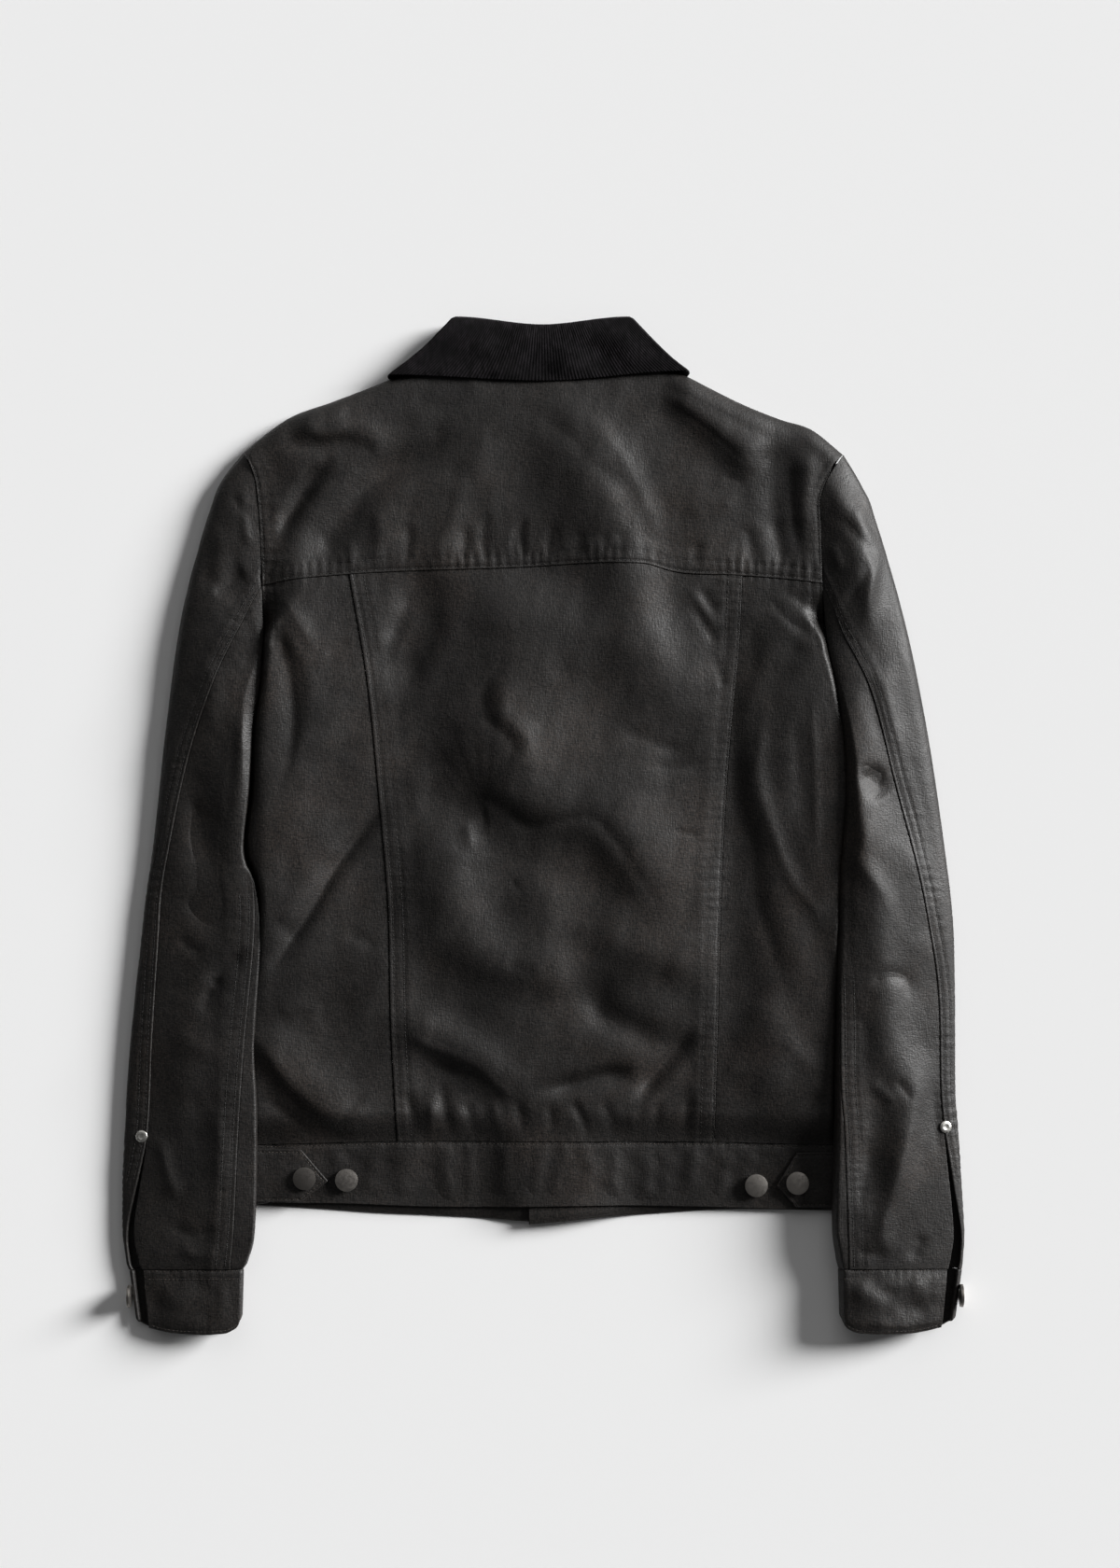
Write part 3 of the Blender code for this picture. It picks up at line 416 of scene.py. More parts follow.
corduroyCloth = {
    # groove is painted shade: the colour between the wales, darker where shade falls
    "groove": (0.0016, 0.0014, 0.0017),
    "pile": (0.0068, 0.0058, 0.0066),
    "roughness": 0.88,
    "specular": 0.12,
    "sheen": (0.06, 0.5),    # weight, roughness
    "sheenTint": (0.25, 0.22, 0.24, 1),
    "napScale": 420,
    "patchScale": 55,
    "fuzzBump": (0.4, 0.0004),
}


def corduroyMaterial():
    s = corduroyCloth
    material, tree, shader = newMaterial("corduroy")
    coords = tree.nodes.new("ShaderNodeTexCoord")
    crown = tree.nodes.new("ShaderNodeAttribute")
    crown.attribute_name = "wale"
    # painted shade: dark in the grooves between the wales, the pile's colour on their crowns
    colour = rampNode(tree, crown, "Fac", ((0.15, s["groove"]), (0.9, s["pile"])))
    nap = noiseNode(tree, coords, s["napScale"], 3, 0.6, (1, 0.35, 1))
    flecks = rampNode(tree, nap, "Fac", ((0.34, 0.3), (0.66, 2.0)))
    brushed = noiseNode(tree, coords, s["patchScale"], 4, 0.65)    # patches where the nap lies another way
    patches = rampNode(tree, brushed, "Fac", ((0.38, 0.6), (0.64, 1.5)))
    both = multiplyNode(tree, multiplyNode(tree, colour, "Color", flecks), "Result", patches)
    link(tree, both, "Result", shader, "Base Color")
    shader.inputs["Roughness"].default_value = s["roughness"]
    shader.inputs["Specular IOR Level"].default_value = s["specular"]
    shader.inputs["Sheen Weight"].default_value = s["sheen"][0]
    shader.inputs["Sheen Roughness"].default_value = s["sheen"][1]
    shader.inputs["Sheen Tint"].default_value = s["sheenTint"]
    link(tree, bumpNode(tree, nap, "Fac", *s["fuzzBump"]), "Normal", shader, "Normal")
    return material


def threadMaterial(name, dark, light):
    material, tree, shader = newMaterial(name)
    coords = tree.nodes.new("ShaderNodeTexCoord")
    wear = noiseNode(tree, coords, 60, 3)
    colour = rampNode(tree, wear, "Fac", ((0.3, dark), (0.75, light)))
    link(tree, colour, "Color", shader, "Base Color")
    shader.inputs["Roughness"].default_value = 0.6
    return material


def metalMaterial(name, bright, dark, rough):    # rubbed bright on its raised rings, dark in its hollows; the bright rings are partly painted highlight
    material, tree, shader = newMaterial(name)
    coords = tree.nodes.new("ShaderNodeTexCoord")
    tarnish = noiseNode(tree, coords, 420, 4, 0.65)
    rubbed = tree.nodes.new("ShaderNodeAttribute")
    rubbed.attribute_name = "rubbed"
    both = tree.nodes.new("ShaderNodeMath")
    both.operation = "MULTIPLY_ADD"
    both.inputs[1].default_value = 0.5
    link(tree, tarnish, "Fac", both, 0)
    link(tree, rubbed, "Fac", both, 2)
    colour = rampNode(tree, both, "Value", ((0.2, dark), (1.05, bright)))
    link(tree, colour, "Color", shader, "Base Color")
    shader.inputs["Metallic"].default_value = 1.0
    worn = rampNode(tree, tarnish, "Fac", ((0.3, rough + 0.16), (0.7, rough)))
    link(tree, worn, "Color", shader, "Roughness")
    fine = bumpNode(tree, noiseNode(tree, coords, 1500, 2), "Fac", 0.25, 0.0002)
    link(tree, fine, "Normal", shader, "Normal")
    return material


waxed = waxedMaterial()
cord = corduroyMaterial()
thread = threadMaterial("thread", (0.006, 0.005, 0.0045), (0.016, 0.013, 0.011))
threadWorn = threadMaterial("threadWorn", (0.014, 0.011, 0.009), (0.055, 0.043, 0.034))
# painted shade: the near-black colour of the needle holes
needleHoleShade = threadMaterial("needleHoleShade", (0.0015, 0.0012, 0.0012), (0.003, 0.0025, 0.002))
antique = metalMaterial("antiqueSilver", (0.30, 0.28, 0.26), (0.030, 0.027, 0.025), 0.34)
silver = metalMaterial("rivetSilver", (0.75, 0.74, 0.70), (0.45, 0.43, 0.40), 0.28)
print("materials made")


# the body's surface

body = {
    "cloth": 2.0,
    "onFronts": 4.3,
    "seamTop": 14.5,
    "buttonLift": 3.2,
    "collarLift": 2.8,
    "shoulderRound": 16.0,
    "loft": ((-242, 14), (-210, 15.5), (-150, 17.5), (0, 18), (150, 17.5), (250, 17), (300, 15), (342, 11.5)),
    "foldHeight": 1.5,    # what the heights of the folds and of the smaller creases are multiplied by
    "creaseHeight": 0.8,
    "folds": (    # path, width, height, how sharp, which way it leans
        ((
            (-20, 365), (10, 310), (32, 275), (44, 247), (59, 208), (67, 175), (76, 135), (95, 85), (115, 45),
        ), 30, 5.6, 0, 0.15),
        (((88, 332), (102, 319), (115, 308), (135, 291), (155, 272), (166, 262)), 15, 3.8, 0, -0.25),
        (((173, 290), (175, 278), (176, 262), (176, 240), (180, 212), (190, 176)), 15, -2.4, 0, -0.1),
        (((193, 284), (195, 262), (196, 240), (200, 214)), 12, 1.1),
        (((-50, 306), (-90, 278), (-127, 256), (-148, 228), (-165, 203), (-182, 178)), 12, -3.3),
        (((-155, 275), (-176, 252), (-195, 222), (-207, 192)), 7, -3.2),
        (((-196, 296), (-182, 299), (-165, 293), (-148, 294), (-128, 288), (-116, 268)), 9, 2.4, 0, -0.3),
        (((-66, 270), (-67, 245), (-74, 215), (-80, 188)), 11, 1.7),
        (((-5, 195), (-22, 110), (-38, 15)), 58, 6.0, 0, -0.2),
        (((-88, 200), (-92, 165), (-104, 130), (-118, 90)), 16, -3.4),
        (((8, 145), (-24, 110), (-30, 85), (-18, 62), (-22, 42), (-42, 16)), 20, 1.3, 0, -0.3),
        ((
            (-90, -8), (-52, 26), (-25, 24), (5, 14), (40, 4), (66, -24), (92, -60), (125, -100),
        ), 30, 6.0, 0, -0.3),
        (((-58, 16), (-70, -30), (-66, -75), (-46, -130)), 28, 4.2, 0, 0.05),
        (((0, -25), (-2, -60), (4, -95), (14, -135)), 20, 2.2, 0, 0.1),
        (((25, -72), (60, -88), (95, -98), (130, -120)), 26, 3.6, 0, -0.2),
        (((36, -105), (44, -140), (68, -154), (110, -172)), 12, -2.6),
        (((-75, -95), (-30, -105), (5, -115), (25, -135)), 20, 2.8, 0, -0.2),
        (((-112, -148), (-90, -154), (-60, -166), (-36, -186), (-22, -210)), 14, 2.4),
        (((-110, -172), (-72, -192), (-45, -208), (-25, -232)), 16, -2.2),
        (((-12, -204), (27, -194), (50, -189), (74, -186)), 7, -2.6),
        (((66, -210), (92, -181), (118, -152)), 7, -2.6),
        (((-201, 230), (-203, 150), (-206, 40), (-207, -60), (-203, -190)), 36, 4.6, 0, -0.62),
        (((-204, 152), (-191, 120), (-186, 75), (-195, 26)), 8, -2.0, 0, 0.5),
        (((-112, 20), (-130, -2), (-153, -30), (-174, -66), (-190, -90), (-210, -122)), 7, -2.8, 0.2),
        (((-216, -150), (-206, -168), (-180, -198), (-145, -228), (-128, -245)), 16, 3.6, 0, -0.3),
        (((134, 230), (139, 130), (138, 0), (141, -130), (146, -250)), 18, -1.3, 0, -0.2),
        (((150, -130), (172, -160), (160, -225)), 22, 2.4, 0, 0.2),
    ),
    "streak": (    # y, x: the right side climbs to this line, and again past it up to the sleeve
        (-242, 216), (-150, 214), (-118, 209), (-80, 195), (-40, 180), (0, 168), (60, 159), (100, 164),
        (140, 184), (176, 204),
    ),
    "climb": ((-242, 3.5), (-150, 4.4), (-60, 5.0), (0, 4.2), (60, 3.0), (185, 2)),    # y, how high
    "climbOn": 2.0,
    "against": {    # y, how much of the edge's fall is left out where the cloth stands up against a sleeve
        -1: ((-242, 9), (-90, 9), (-50, 5), (150, 4), (190, 0)),
        1: ((-242, 6), (110, 6), (150, 3), (190, 0)),
    },
}

# smaller creases of the back: path, width, height, how sharp, which way it leans
yokeCreases = (
    (((-197, 297), (-178, 282), (-137, 291), (-127, 274)), 7, -1.6, 0.4),
    (((-199, 218), (-184, 236), (-167, 255)), 7, -1.8, 0.4),
    (((-196, 195), (-165, 226), (-130, 255), (-76, 289)), 9, -2.0, 0.3),
    (((-85, 201), (-71, 235), (-64, 278)), 9, -1.5, 0.3),
    (((-116, 201), (-114, 222), (-113, 243)), 8, 1.2, 0.2),
    (((-24, 198), (-21, 212), (-19, 226)), 3, -0.7, 0.5),
    (((13, 201), (12, 212), (10, 224)), 3, -0.7, 0.5),
    (((144, 195), (146, 205), (147, 217)), 4, -0.8, 0.5),
    (((-19, 315), (18, 292), (44, 264), (76, 243)), 10, -1.8, 0.3),
    (((27, 315), (55, 280), (78, 240), (92, 201)), 8, 1.6, 0.3),
    (((81, 321), (113, 303), (138, 283), (158, 266)), 7, -2.0, 0.6, 0.2),
    (((135, 261), (144, 257), (153, 255)), 4, -0.8, 0.5),
    (((161, 283), (184, 292), (209, 289)), 7, -1.8, 0.4),
    (((187, 280), (187, 240), (195, 189)), 6, -2.6, 0.5),
    (((198, 283), (200, 254), (201, 212)), 7, 1.8, 0.2),
    (((-176, 313), (-160, 301), (-141, 303)), 6, 1.2, 0.3),
    (((-188, 254), (-176, 268), (-160, 275)), 6, 1.3, 0.3),
    (((-43, 303), (-48, 268), (-43, 240)), 12, 1.0, 0.1),
    (((108, 226), (125, 240), (153, 236)), 8, 1.2, 0.2),
    (((-99, 320), (-78, 313), (-43, 317)), 8, -0.8, 0.2),
    (((41, 219), (52, 205), (55, 195)), 5, -0.8, 0.4),
    (((-168, 222), (-160, 205), (-160, 190)), 5, -0.9, 0.2),
    (((-146, 214), (-143, 202), (-144, 190)), 4, 1.2, 0.2),
    (((-124, 240), (-122, 215), (-126, 190)), 6, 1.6, 0.2),
    (((-101, 228), (-100, 210), (-104, 192)), 5, -1.8, 0.2),
    (((-58, 226), (-57, 208), (-60, 194)), 4, -1.5, 0.2),
    (((-41, 236), (-44, 214), (-42, 195)), 5, -1.6, 0.2),
    (((-14, 232), (-16, 214), (-13, 196)), 4, -1.9, 0.3),
    (((8, 228), (6, 212), (7, 197)), 4, -1.3, 0.3),
    (((29, 222), (27, 209), (30, 198)), 4, -1.2, 0.3),
    (((58, 222), (60, 208), (57, 198)), 4, -1.3, 0.3),
    (((118, 212), (115, 202), (117, 190)), 4, -1.2, 0.3),
    (((152, 226), (156, 208), (160, 188)), 6, -2.0, 0.2),
    (((172, 232), (177, 212), (180, 190)), 6, -1.8, 0.2),
    (((-209, 247), (-206, 226), (-204, 198)), 4, -1.2, 0.4),
)
centerCreases = (
    (((-96, 177), (-106, 156), (-116, 132)), 7, -1.8, 0.4),
    (((-90, 161), (-103, 138), (-116, 115)), 6, 1.6, 0.3),
    (((-71, 161), (-88, 128), (-105, 95)), 9, -2.2, 0.3),
    (((-8, 132), (-39, 109), (-42, 81), (-24, 63), (-24, 52), (-42, 35)), 7, -2.0, 0.4),
    (((2, 125), (-25, 103), (-28, 82), (-13, 65), (-13, 49), (-29, 31)), 8, 1.6, 0.2),
    (((-71, -2), (-48, 18), (-31, 12), (-8, -2), (32, 5), (54, -12), (77, -47), (104, -82)), 7, -2.2, 0.5),
    (((-58, 3), (-55, -7), (-52, -23)), 6, 1.8, 0.5),
    (((-24, -40), (-20, -47), (-13, -52)), 3, -0.9, 0.7),
    (((-28, -102), (-15, -109), (-2, -114)), 5, -0.8, 0.3),
    (((97, -5), (108, -7), (120, -10)), 3, -1.2, 0.8),
    (((76, 44), (101, 42), (127, 45)), 6, -1.2, 0.4),
    (((55, 69), (83, 61), (113, 49)), 7, -1.2, 0.3),
    (((118, 177), (125, 166), (132, 155)), 5, -1.8, 0.5),
    (((113, 166), (122, 149), (132, 132)), 5, -1.8, 0.5),
    (((108, 180), (120, 161), (131, 145)), 4, 1.2, 0.3),
    (((129, 128), (133, 112), (136, 100)), 4, -1.3, 0.5),
    (((-102, -154), (-88, -165), (-53, -180), (-31, -199), (-19, -202)), 5, 1.8, 0.4),
    (((-99, -172), (-65, -187), (-48, -188), (-24, -210)), 6, -2.0, 0.5),
    (((-5, -202), (27, -196), (44, -188), (66, -185)), 6, -1.6, 0.4),
    (((72, -202), (92, -180), (115, -156)), 7, -1.8, 0.4),
    (((115, -182), (90, -196), (72, -222)), 6, 1.4, 0.3),
    (((-103, -196), (-98, -214), (-95, -234), (-95, -250)), 5, -2.4, 0.2),
    (((-84, -205), (-83, -222), (-86, -246)), 4, 1.8, 0.2),
    (((-76, -190), (-73, -212), (-70, -232), (-70, -250)), 5, -2.4, 0.2),
    (((-58, -206), (-54, -222), (-50, -246)), 5, -2.2, 0.2),
    (((-38, -204), (-34, -222), (-28, -246)), 5, 1.8, 0.2),
    (((-20, -204), (-16, -222), (-12, -248)), 5, -2.2, 0.2),
    (((4, -208), (7, -224), (5, -248)), 4, -1.6, 0.2),
    (((20, -204), (30, -222), (36, -246)), 4, -2.2, 0.2),
    (((44, -206), (52, -224), (54, -248)), 5, -1.8, 0.2),
    (((66, -214), (68, -228), (64, -248)), 4, 1.4, 0.2),
    (((88, -206), (85, -224), (84, -248)), 5, -1.6, 0.2),
    (((112, -200), (108, -220), (108, -246)), 5, -2.0, 0.2),
    (((-99, -54), (-78, -72), (-43, -75)), 14, -1.2, 0.1),
    (((13, 114), (41, 128), (76, 135)), 16, 1.4, 0.1),
    (((6, -54), (27, -82), (34, -124)), 16, 1.2, 0.1),
    (((-106, 58), (-95, 23), (-92, -12)), 12, 1.3, 0.1),
    (((-71, 86), (-78, 58), (-74, 30)), 12, -1.2, 0.1),
    (((83, -103), (97, -124), (125, -138)), 12, -1.2, 0.2),
    (((41, 170), (48, 149), (41, 121)), 14, -0.9, 0.1),
)
leftCreases = (
    (((-198, 168), (-194, 140), (-183, 115), (-180, 81), (-190, 37)), 6, -1.8, 0.2, 0.3),
    (((-196, 172), (-185, 155), (-167, 126)), 6, 1.4, 0.3),
    (((-164, 126), (-153, 132), (-142, 138)), 4, -0.9, 0.4),
    (((-182, 37), (-158, 49), (-133, 61)), 6, -1.0, 0.3),
    (((-122, 8), (-135, -8), (-153, -32), (-174, -68), (-190, -92), (-206, -116)), 4, -1.4, 0.7),
    (((-202, -68), (-192, -78), (-182, -88)), 6, -1.2, 0.3),
    (((-150, -79), (-136, -86), (-122, -93)), 6, -1.0, 0.3),
    (((-214, -199), (-193, -217), (-176, -231), (-167, -243)), 5, -1.8, 0.5),
    (((-196, -194), (-176, -217), (-159, -231)), 5, -1.6, 0.5),
    (((-214, -159), (-191, -194), (-167, -228)), 7, 1.6, 0.3),
    (((-130, -199), (-144, -214), (-156, -228)), 5, -1.3, 0.4),
    (((-176, 2), (-162, -12), (-155, -33)), 12, 1.2, 0.1),
    (((-197, -12), (-190, -33), (-197, -54)), 10, -1.2, 0.1),
    (((-141, -124), (-155, -145), (-169, -152)), 12, -1.0, 0.1),
    (((-197, -145), (-183, -138), (-162, -141)), 8, 1.3, 0.2),
    (((-162, 100), (-158, 72), (-162, 44)), 14, 1.0, 0.1),
)
rightCreases = (
    (((181, 103), (167, 81), (161, 37), (172, -5), (187, -42), (204, -65), (216, -96)), 7, 2.4, 0.4),
    (((150, 81), (147, 23), (158, -19), (161, -56), (175, -103), (187, -137)), 8, -2.0, 0.3),
    (((167, 172), (184, 152), (204, 140)), 4, -1.0, 0.5),
    (((178, 177), (188, 170), (198, 163)), 4, -0.8, 0.5),
    (((172, 163), (187, 143), (205, 128)), 6, 0.8, 0.2),
    (((161, -205), (139, -222), (120, -235)), 7, 1.2, 0.2),
    (((175, -231), (198, -214), (212, -199)), 6, -1.8, 0.5),
    (((153, -145), (146, -173), (141, -194)), 10, 1.2, 0.2),
    (((188, 86), (192, 37), (195, -26)), 8, -1.6, 0.3),
    (((201, 100), (204, 37), (205, -33)), 3, 1.4, 0.6),
    (((181, -152), (192, -173), (209, -187)), 9, 1.4, 0.2),
    (((153, 156), (158, 128), (155, 100)), 8, -1.2, 0.2),
)
backCreases = yokeCreases + centerCreases + leftCreases + rightCreases

sewing = {
    "pitch": 3.05,
    "length": 2.1,
    "thick": 0.5,
    "hole": 1.4,
    "dip": 0.4,
    "lap": 0.5,
    "pucker": 0.24,
    "puckerPitch": 7.0,
}


def innerEdge(sleeve):
    return tuple(sorted((row[3], row[2]) for row in sleeve["rows"])) + sleeve["armhole"][1:]


seenLeft, seenRight = innerEdge(sleeveLeft), innerEdge(sleeveRight)


def frontLap(x):
    return ease(-40, cut["lapRight"], x) * ease(76, 42, x)


def frontRest(x, y):
    buttons = body["buttonLift"] * ease(-52, -12, x) * ease(60, 19, x)
    return np.maximum(buttons, body["collarLift"] * ease(158, 128, np.abs(x)) * ease(100, 160, y))


waistband = {
    "thick": 2.5,
    "step": 1.7,
    "folds": (    # path, width, height
        (((-155, -240), (-152, -262), (-148, -284)), 7, 0.8),
        (((-125, -238), (-128, -262), (-130, -284)), 7, 1.0),
        (((-103, -236), (-103, -262), (-102, -288)), 11, 1.7),
        (((-73, -236), (-72, -262), (-69, -290)), 7, 1.4),
        (((-55, -236), (-54, -262), (-54, -290)), 4, 0.7),
        (((-26, -234), (-29, -262), (-28, -290)), 9, 1.7),
        (((1, -236), (-3, -262), (-7, -290)), 5.5, 1.0),
        (((15, -236), (16, -250), (12, -268), (9, -288)), 5, 0.7),
        (((33, -236), (34, -250), (37, -262), (30, -276), (28, -290)), 6, 0.9),
        (((56, -236), (54, -262), (55, -290)), 5.5, 0.9),
        (((73, -236), (78, -262), (75, -290)), 7, 1.4),
        (((91, -238), (92, -262), (93, -290)), 5, 0.7),
        (((115, -236), (112, -262), (110, -290)), 6, 1.2),
        (((137, -238), (137, -262), (131, -286)), 6, 0.9),
        (((151, -240), (154, -262), (155, -284)), 6, 0.9),
    ),
    "stitchTop": 1.5,
    "stitchLow": 2.6,
}


def bandUnder(side, x):
    return frontRest(x, np.zeros_like(x)) + (frontLap(x) * (waistband["thick"] + seamGap) if side > 0 else 0)


def bandTop(x):
    seen = ease(3, 30, np.minimum(x + 214, 218 - x))
    return bandUnder(1, x) + 2 * waistband["thick"] + seamGap + seen * 1.4


def backForm(x, y):    # the back's solid form
    into = np.minimum(
        x - curve(seenLeft, y) + curve(body["against"][-1], y),
        curve(seenRight, y) - x + curve(body["against"][1], y),
    )
    edge = mix(body["onFronts"], body["seamTop"] + 2.2 * (x > 0), ease(144, 176, y))
    line = curve(body["streak"], y)
    climb = curve(body["climb"], y) * ease(142, line - 3, x) + body["climbOn"] * ease(6, 28, x - line)
    climb = climb * ease(185, 120, y)
    height = mix(edge, curve(body["loft"], y) + climb, ease(0.5, mix(8, 34, ease(135, 180, y)), into))
    folds = body["foldHeight"] * creases(body["folds"], x, y)
    height = height + folds * ease(1, mix(10, 32, ease(135, 180, y)), into)
    height = height + body["creaseHeight"] * creases(backCreases, x, y) * ease(2, 14, into)
    waves = 1.2 * unevenness(x, y, 3, 72) + 0.5 * unevenness(x, y, 9, 34)
    height = height + ease(0, 20, into) * waves + 0.14 * unevenness(x, y, 8, 15)
    height = mix(bandTop(x) + 0.4, height, ease(-2, 24, y - curve(cut["waistSeam"], x)))
    shoulder = dome((curve(cut["topEdge"], x) - y) / body["shoulderRound"])
    rounding = ease(84, 104, np.abs(x)) * (y > 200)
    return mix(height, mix(brow, height, shoulder), rounding)


def pucker(s):    # the drawn-up cloth along a row of stitches, uneven from one to the next
    beat = 2 * np.pi * s / sewing["puckerPitch"]
    wave = np.sin(beat + 1.9 * np.sin(s / 21.0) + 1.1 * np.sin(s / 9.3 + 1))
    swell = 0.62 + 0.38 * np.sin(s / 31.0 + 2 + np.sin(s / 11.0))
    return (wave + 0.35 * np.sin(2.3 * beat + 2 * np.sin(s / 13.0))) * swell


# raised cloth beside a lapped seam: d is the way in from its edge, s the way along it
def lapSeam(d, s, rows, height=1.0, draw=1.0):
    last = rows[-1]
    lap = sewing["lap"] * height * dome(d / 0.9) * ease(last + 12, last + 1.5, d)
    dips = sum(sewing["dip"] * groove(d - r) for r in rows)
    drawn = sewing["pucker"] * draw * pucker(s) * ease(0, rows[0] + 1, d) * ease(last + 7, last - 1, d)
    flames = 0.8 * sewing["pucker"] * draw * pucker(0.8 * s + 15) * ease(last - 3, last + 2, d)
    flames = flames * np.exp(-np.abs(d - last) / 7)
    return np.where(d >= 0, lap - dips * (d < last + 5) + drawn + flames, 0)


def underLap(d, s):    # cloth that slips under a lapped seam
    return np.where(d >= 0, (-0.25 + 0.20 * pucker(s)) * np.exp(-d / 4.0), 0)


seamRows = {
    "yoke": (2.0, 9.7),
    "princessLeft": (3.5, 11.0),
    "princessRight": (1.4, 10.5),
    "armhole": (2.0, 8.6),
}


def yokeRelief(x, y):
    d = y - curve(cut["yokeSeam"], x)
    relief = lapSeam(d, x, seamRows["yoke"], 1.0, 1.8)
    return relief + armholeRelief(x, y)


def armholeRelief(x, y):
    left = x - curve(cut["armholeLeft"], y)
    right = curve(cut["armholeRight"], y) - x
    high = ease(118, 136, y) * ease(290, 268, y)
    relief = lapSeam(left, y, seamRows["armhole"], 0.8) * (left < 30)
    relief = relief + lapSeam(right, y, seamRows["armhole"], 0.6, 0.35) * (right < 30)
    return relief * high


def centerRelief(x, y):
    relief = lapSeam(x - curve(cut["princessLeft"], y), y, seamRows["princessLeft"], 1.0, 0.6)
    relief = relief + lapSeam(curve(cut["princessRight"], y) - x, y, seamRows["princessRight"], 1.0, 0.9)
    return relief + topAndWaist(x, y)


def topAndWaist(x, y):
    return underLap(curve(cut["yokeSeam"], x) - y, x) + underLap(y - curve(cut["waistSeam"], x), x)


def sideRelief(x, y):
    relief = underLap(curve(cut["princessLeft"], y) - x, y) * (x < 0)
    relief = relief + underLap(x - curve(cut["princessRight"], y), y) * (x > 0)
    return relief + topAndWaist(x, y) + armholeRelief(x, y)


def gaps(length, step, fine=(0.4, 0.9, 1.5, 2.3)):    # shares along a length, closer at both ends
    middle = np.linspace(fine[-1] + 0.8, length - fine[-1] - 0.8, max(2, int((length - 6) / step)))
    at = np.concatenate([[0], fine, middle, [length - f for f in fine[::-1]], [length]])
    return at / length


def panelGrid(left, right, width, step):
    down = gaps(428, step)[:, None]
    across = gaps(width, step)[None, :]
    x, y = np.zeros((len(down), across.shape[1])), mix(190.0, -240.0, down) + 0 * across
    for _ in range(4):
        x = mix(left(y), right(y), across)
        y = mix(curve(cut["yokeSeam"], x) - halfGap, curve(cut["waistSeam"], x) + halfGap, down)
    return x, y


backPanels = {"step": 2.1, "cloth": 1.6}


def backPanel(name, left, right, width, relief):
    x, y = panelGrid(left, right, width, backPanels["step"])
    form = backForm(x, y)
    top = form + relief(x, y)
    inner = gridOf(x, y, form - backPanels["cloth"])
    piece = clothWall(name + "Cloth", gridOf(x, y, top), inner, waxed)
    finishPiece(piece, "waxed_cotton", name)


def leftSide(y):
    return np.where(y > 131, curve(cut["armholeLeft"], y), curve(cut["sideLeft"], y)) + halfGap


def rightSide(y):
    return np.where(y > 128, curve(cut["armholeRight"], y), curve(cut["sideRight"], y)) - halfGap


backPanel(
    "back_side_left", leftSide, lambda y: curve(cut["princessLeft"], y) - halfGap, 110, sideRelief,
)
backPanel(
    "back_center", lambda y: curve(cut["princessLeft"], y) + halfGap,
    lambda y: curve(cut["princessRight"], y) - halfGap, 262, centerRelief,
)
backPanel(
    "back_side_right", lambda y: curve(cut["princessRight"], y) + halfGap, rightSide, 100, sideRelief,
)
print("back panels made")

yokePiece = {"step": 2.1, "cloth": 1.6}


def yokeGrid(inset):
    s = yokePiece
    edge = np.array([13.5, 11, 9, 7.2, 5.6, 4.2, 3.0, 2.0, 1.2, 0.6, 0.2, 0])
    shares = np.concatenate([gaps(150, s["step"])[:-5] * 0.9, 10 + edge])
    across = gaps(424, s["step"])[None, :]
    rows = []
    for share in shares:
        y = np.full(across.shape, 230.0)
        for _ in range(5):
            x = mix(curve(cut["armholeLeft"], y) + halfGap, curve(cut["armholeRight"], y) - halfGap, across)
            rounding = ease(84, 104, np.abs(x))
            low, high = curve(cut["yokeSeam"], x) + halfGap, curve(cut["topEdge"], x) - inset * rounding
            y = mix(low, high - 14.5, share / 0.9) if share < 2 else high - (share - 10)
        rows.append((x[0], y[0], high[0]))
    x, y, high = np.array(rows).transpose(1, 0, 2)
    rounding = ease(84, 104, np.abs(x))
    edge = high + inset * rounding
    reach = dome((high - y) / (body["shoulderRound"] - inset))
    held = np.minimum(y, edge - body["shoulderRound"])
    form = backForm(x, held) * rounding + backForm(x, y) * (1 - rounding)
    relief = yokeRelief(x, y) * ease(2, 12, high - y) if inset == 0 else 0
    z = mix(form - inset, mix(brow, form - inset, reach), rounding) + relief
    return gridOf(x, y, z)


yoke = clothWall("yokeCloth", yokeGrid(0), yokeGrid(yokePiece["cloth"]), waxed)
finishPiece(yoke, "waxed_cotton", "yoke")
print("yoke made")


# fronts, which lie face down under the back

fronts = {"step": 4.0, "cloth": 1.6, "hollow": 1.2}


def frontGrid(side, inset):
    s = fronts
    lap = cut["lapLeft"] if side < 0 else cut["lapRight"]
    across = gaps(230, s["step"])[None, :]
    shares = np.concatenate([[0, 0.004, 0.009, 0.015, 0.022, 0.03], np.linspace(0.04, 1, 130)])
    rows = []
    for share in shares:
        y = np.full(across.shape, mix(280.0, -240.0, share))
        for _ in range(6):
            outer = (leftSide(y) if side < 0 else rightSide(y)) - side * 2 * seamGap
            x = mix(outer, lap, across)
            away = np.abs(x)
            neck = np.where(x * side < 0, 250.0, curve(cut["frontNeck"], away))
            high = mix(neck, curve(cut["topEdge"], x) - inset, ease(82, 92, away))
            y = mix(high, curve(cut["waistSeam"], x) + halfGap, share)
        rows.append((x[0], y[0], high[0]))
    x, y, high = np.array(rows).transpose(1, 0, 2)
    turn = 1 - dome((high - y) / (brow - inset))
    under = frontRest(x, y) + (frontLap(x) * 2.3 if side > 0 else 0)
    hollows = s["hollow"] * creases(frontHollows[side], x, y)
    under = under + hollows * ease(0, 20, high - y) * ease(6, 30, np.abs(x - lap))
    flat = under + inset
    z = mix(flat, brow - seamGap, turn * ease(90, 104, np.abs(x)) * (y > 200))
    return gridOf(x, y, z)


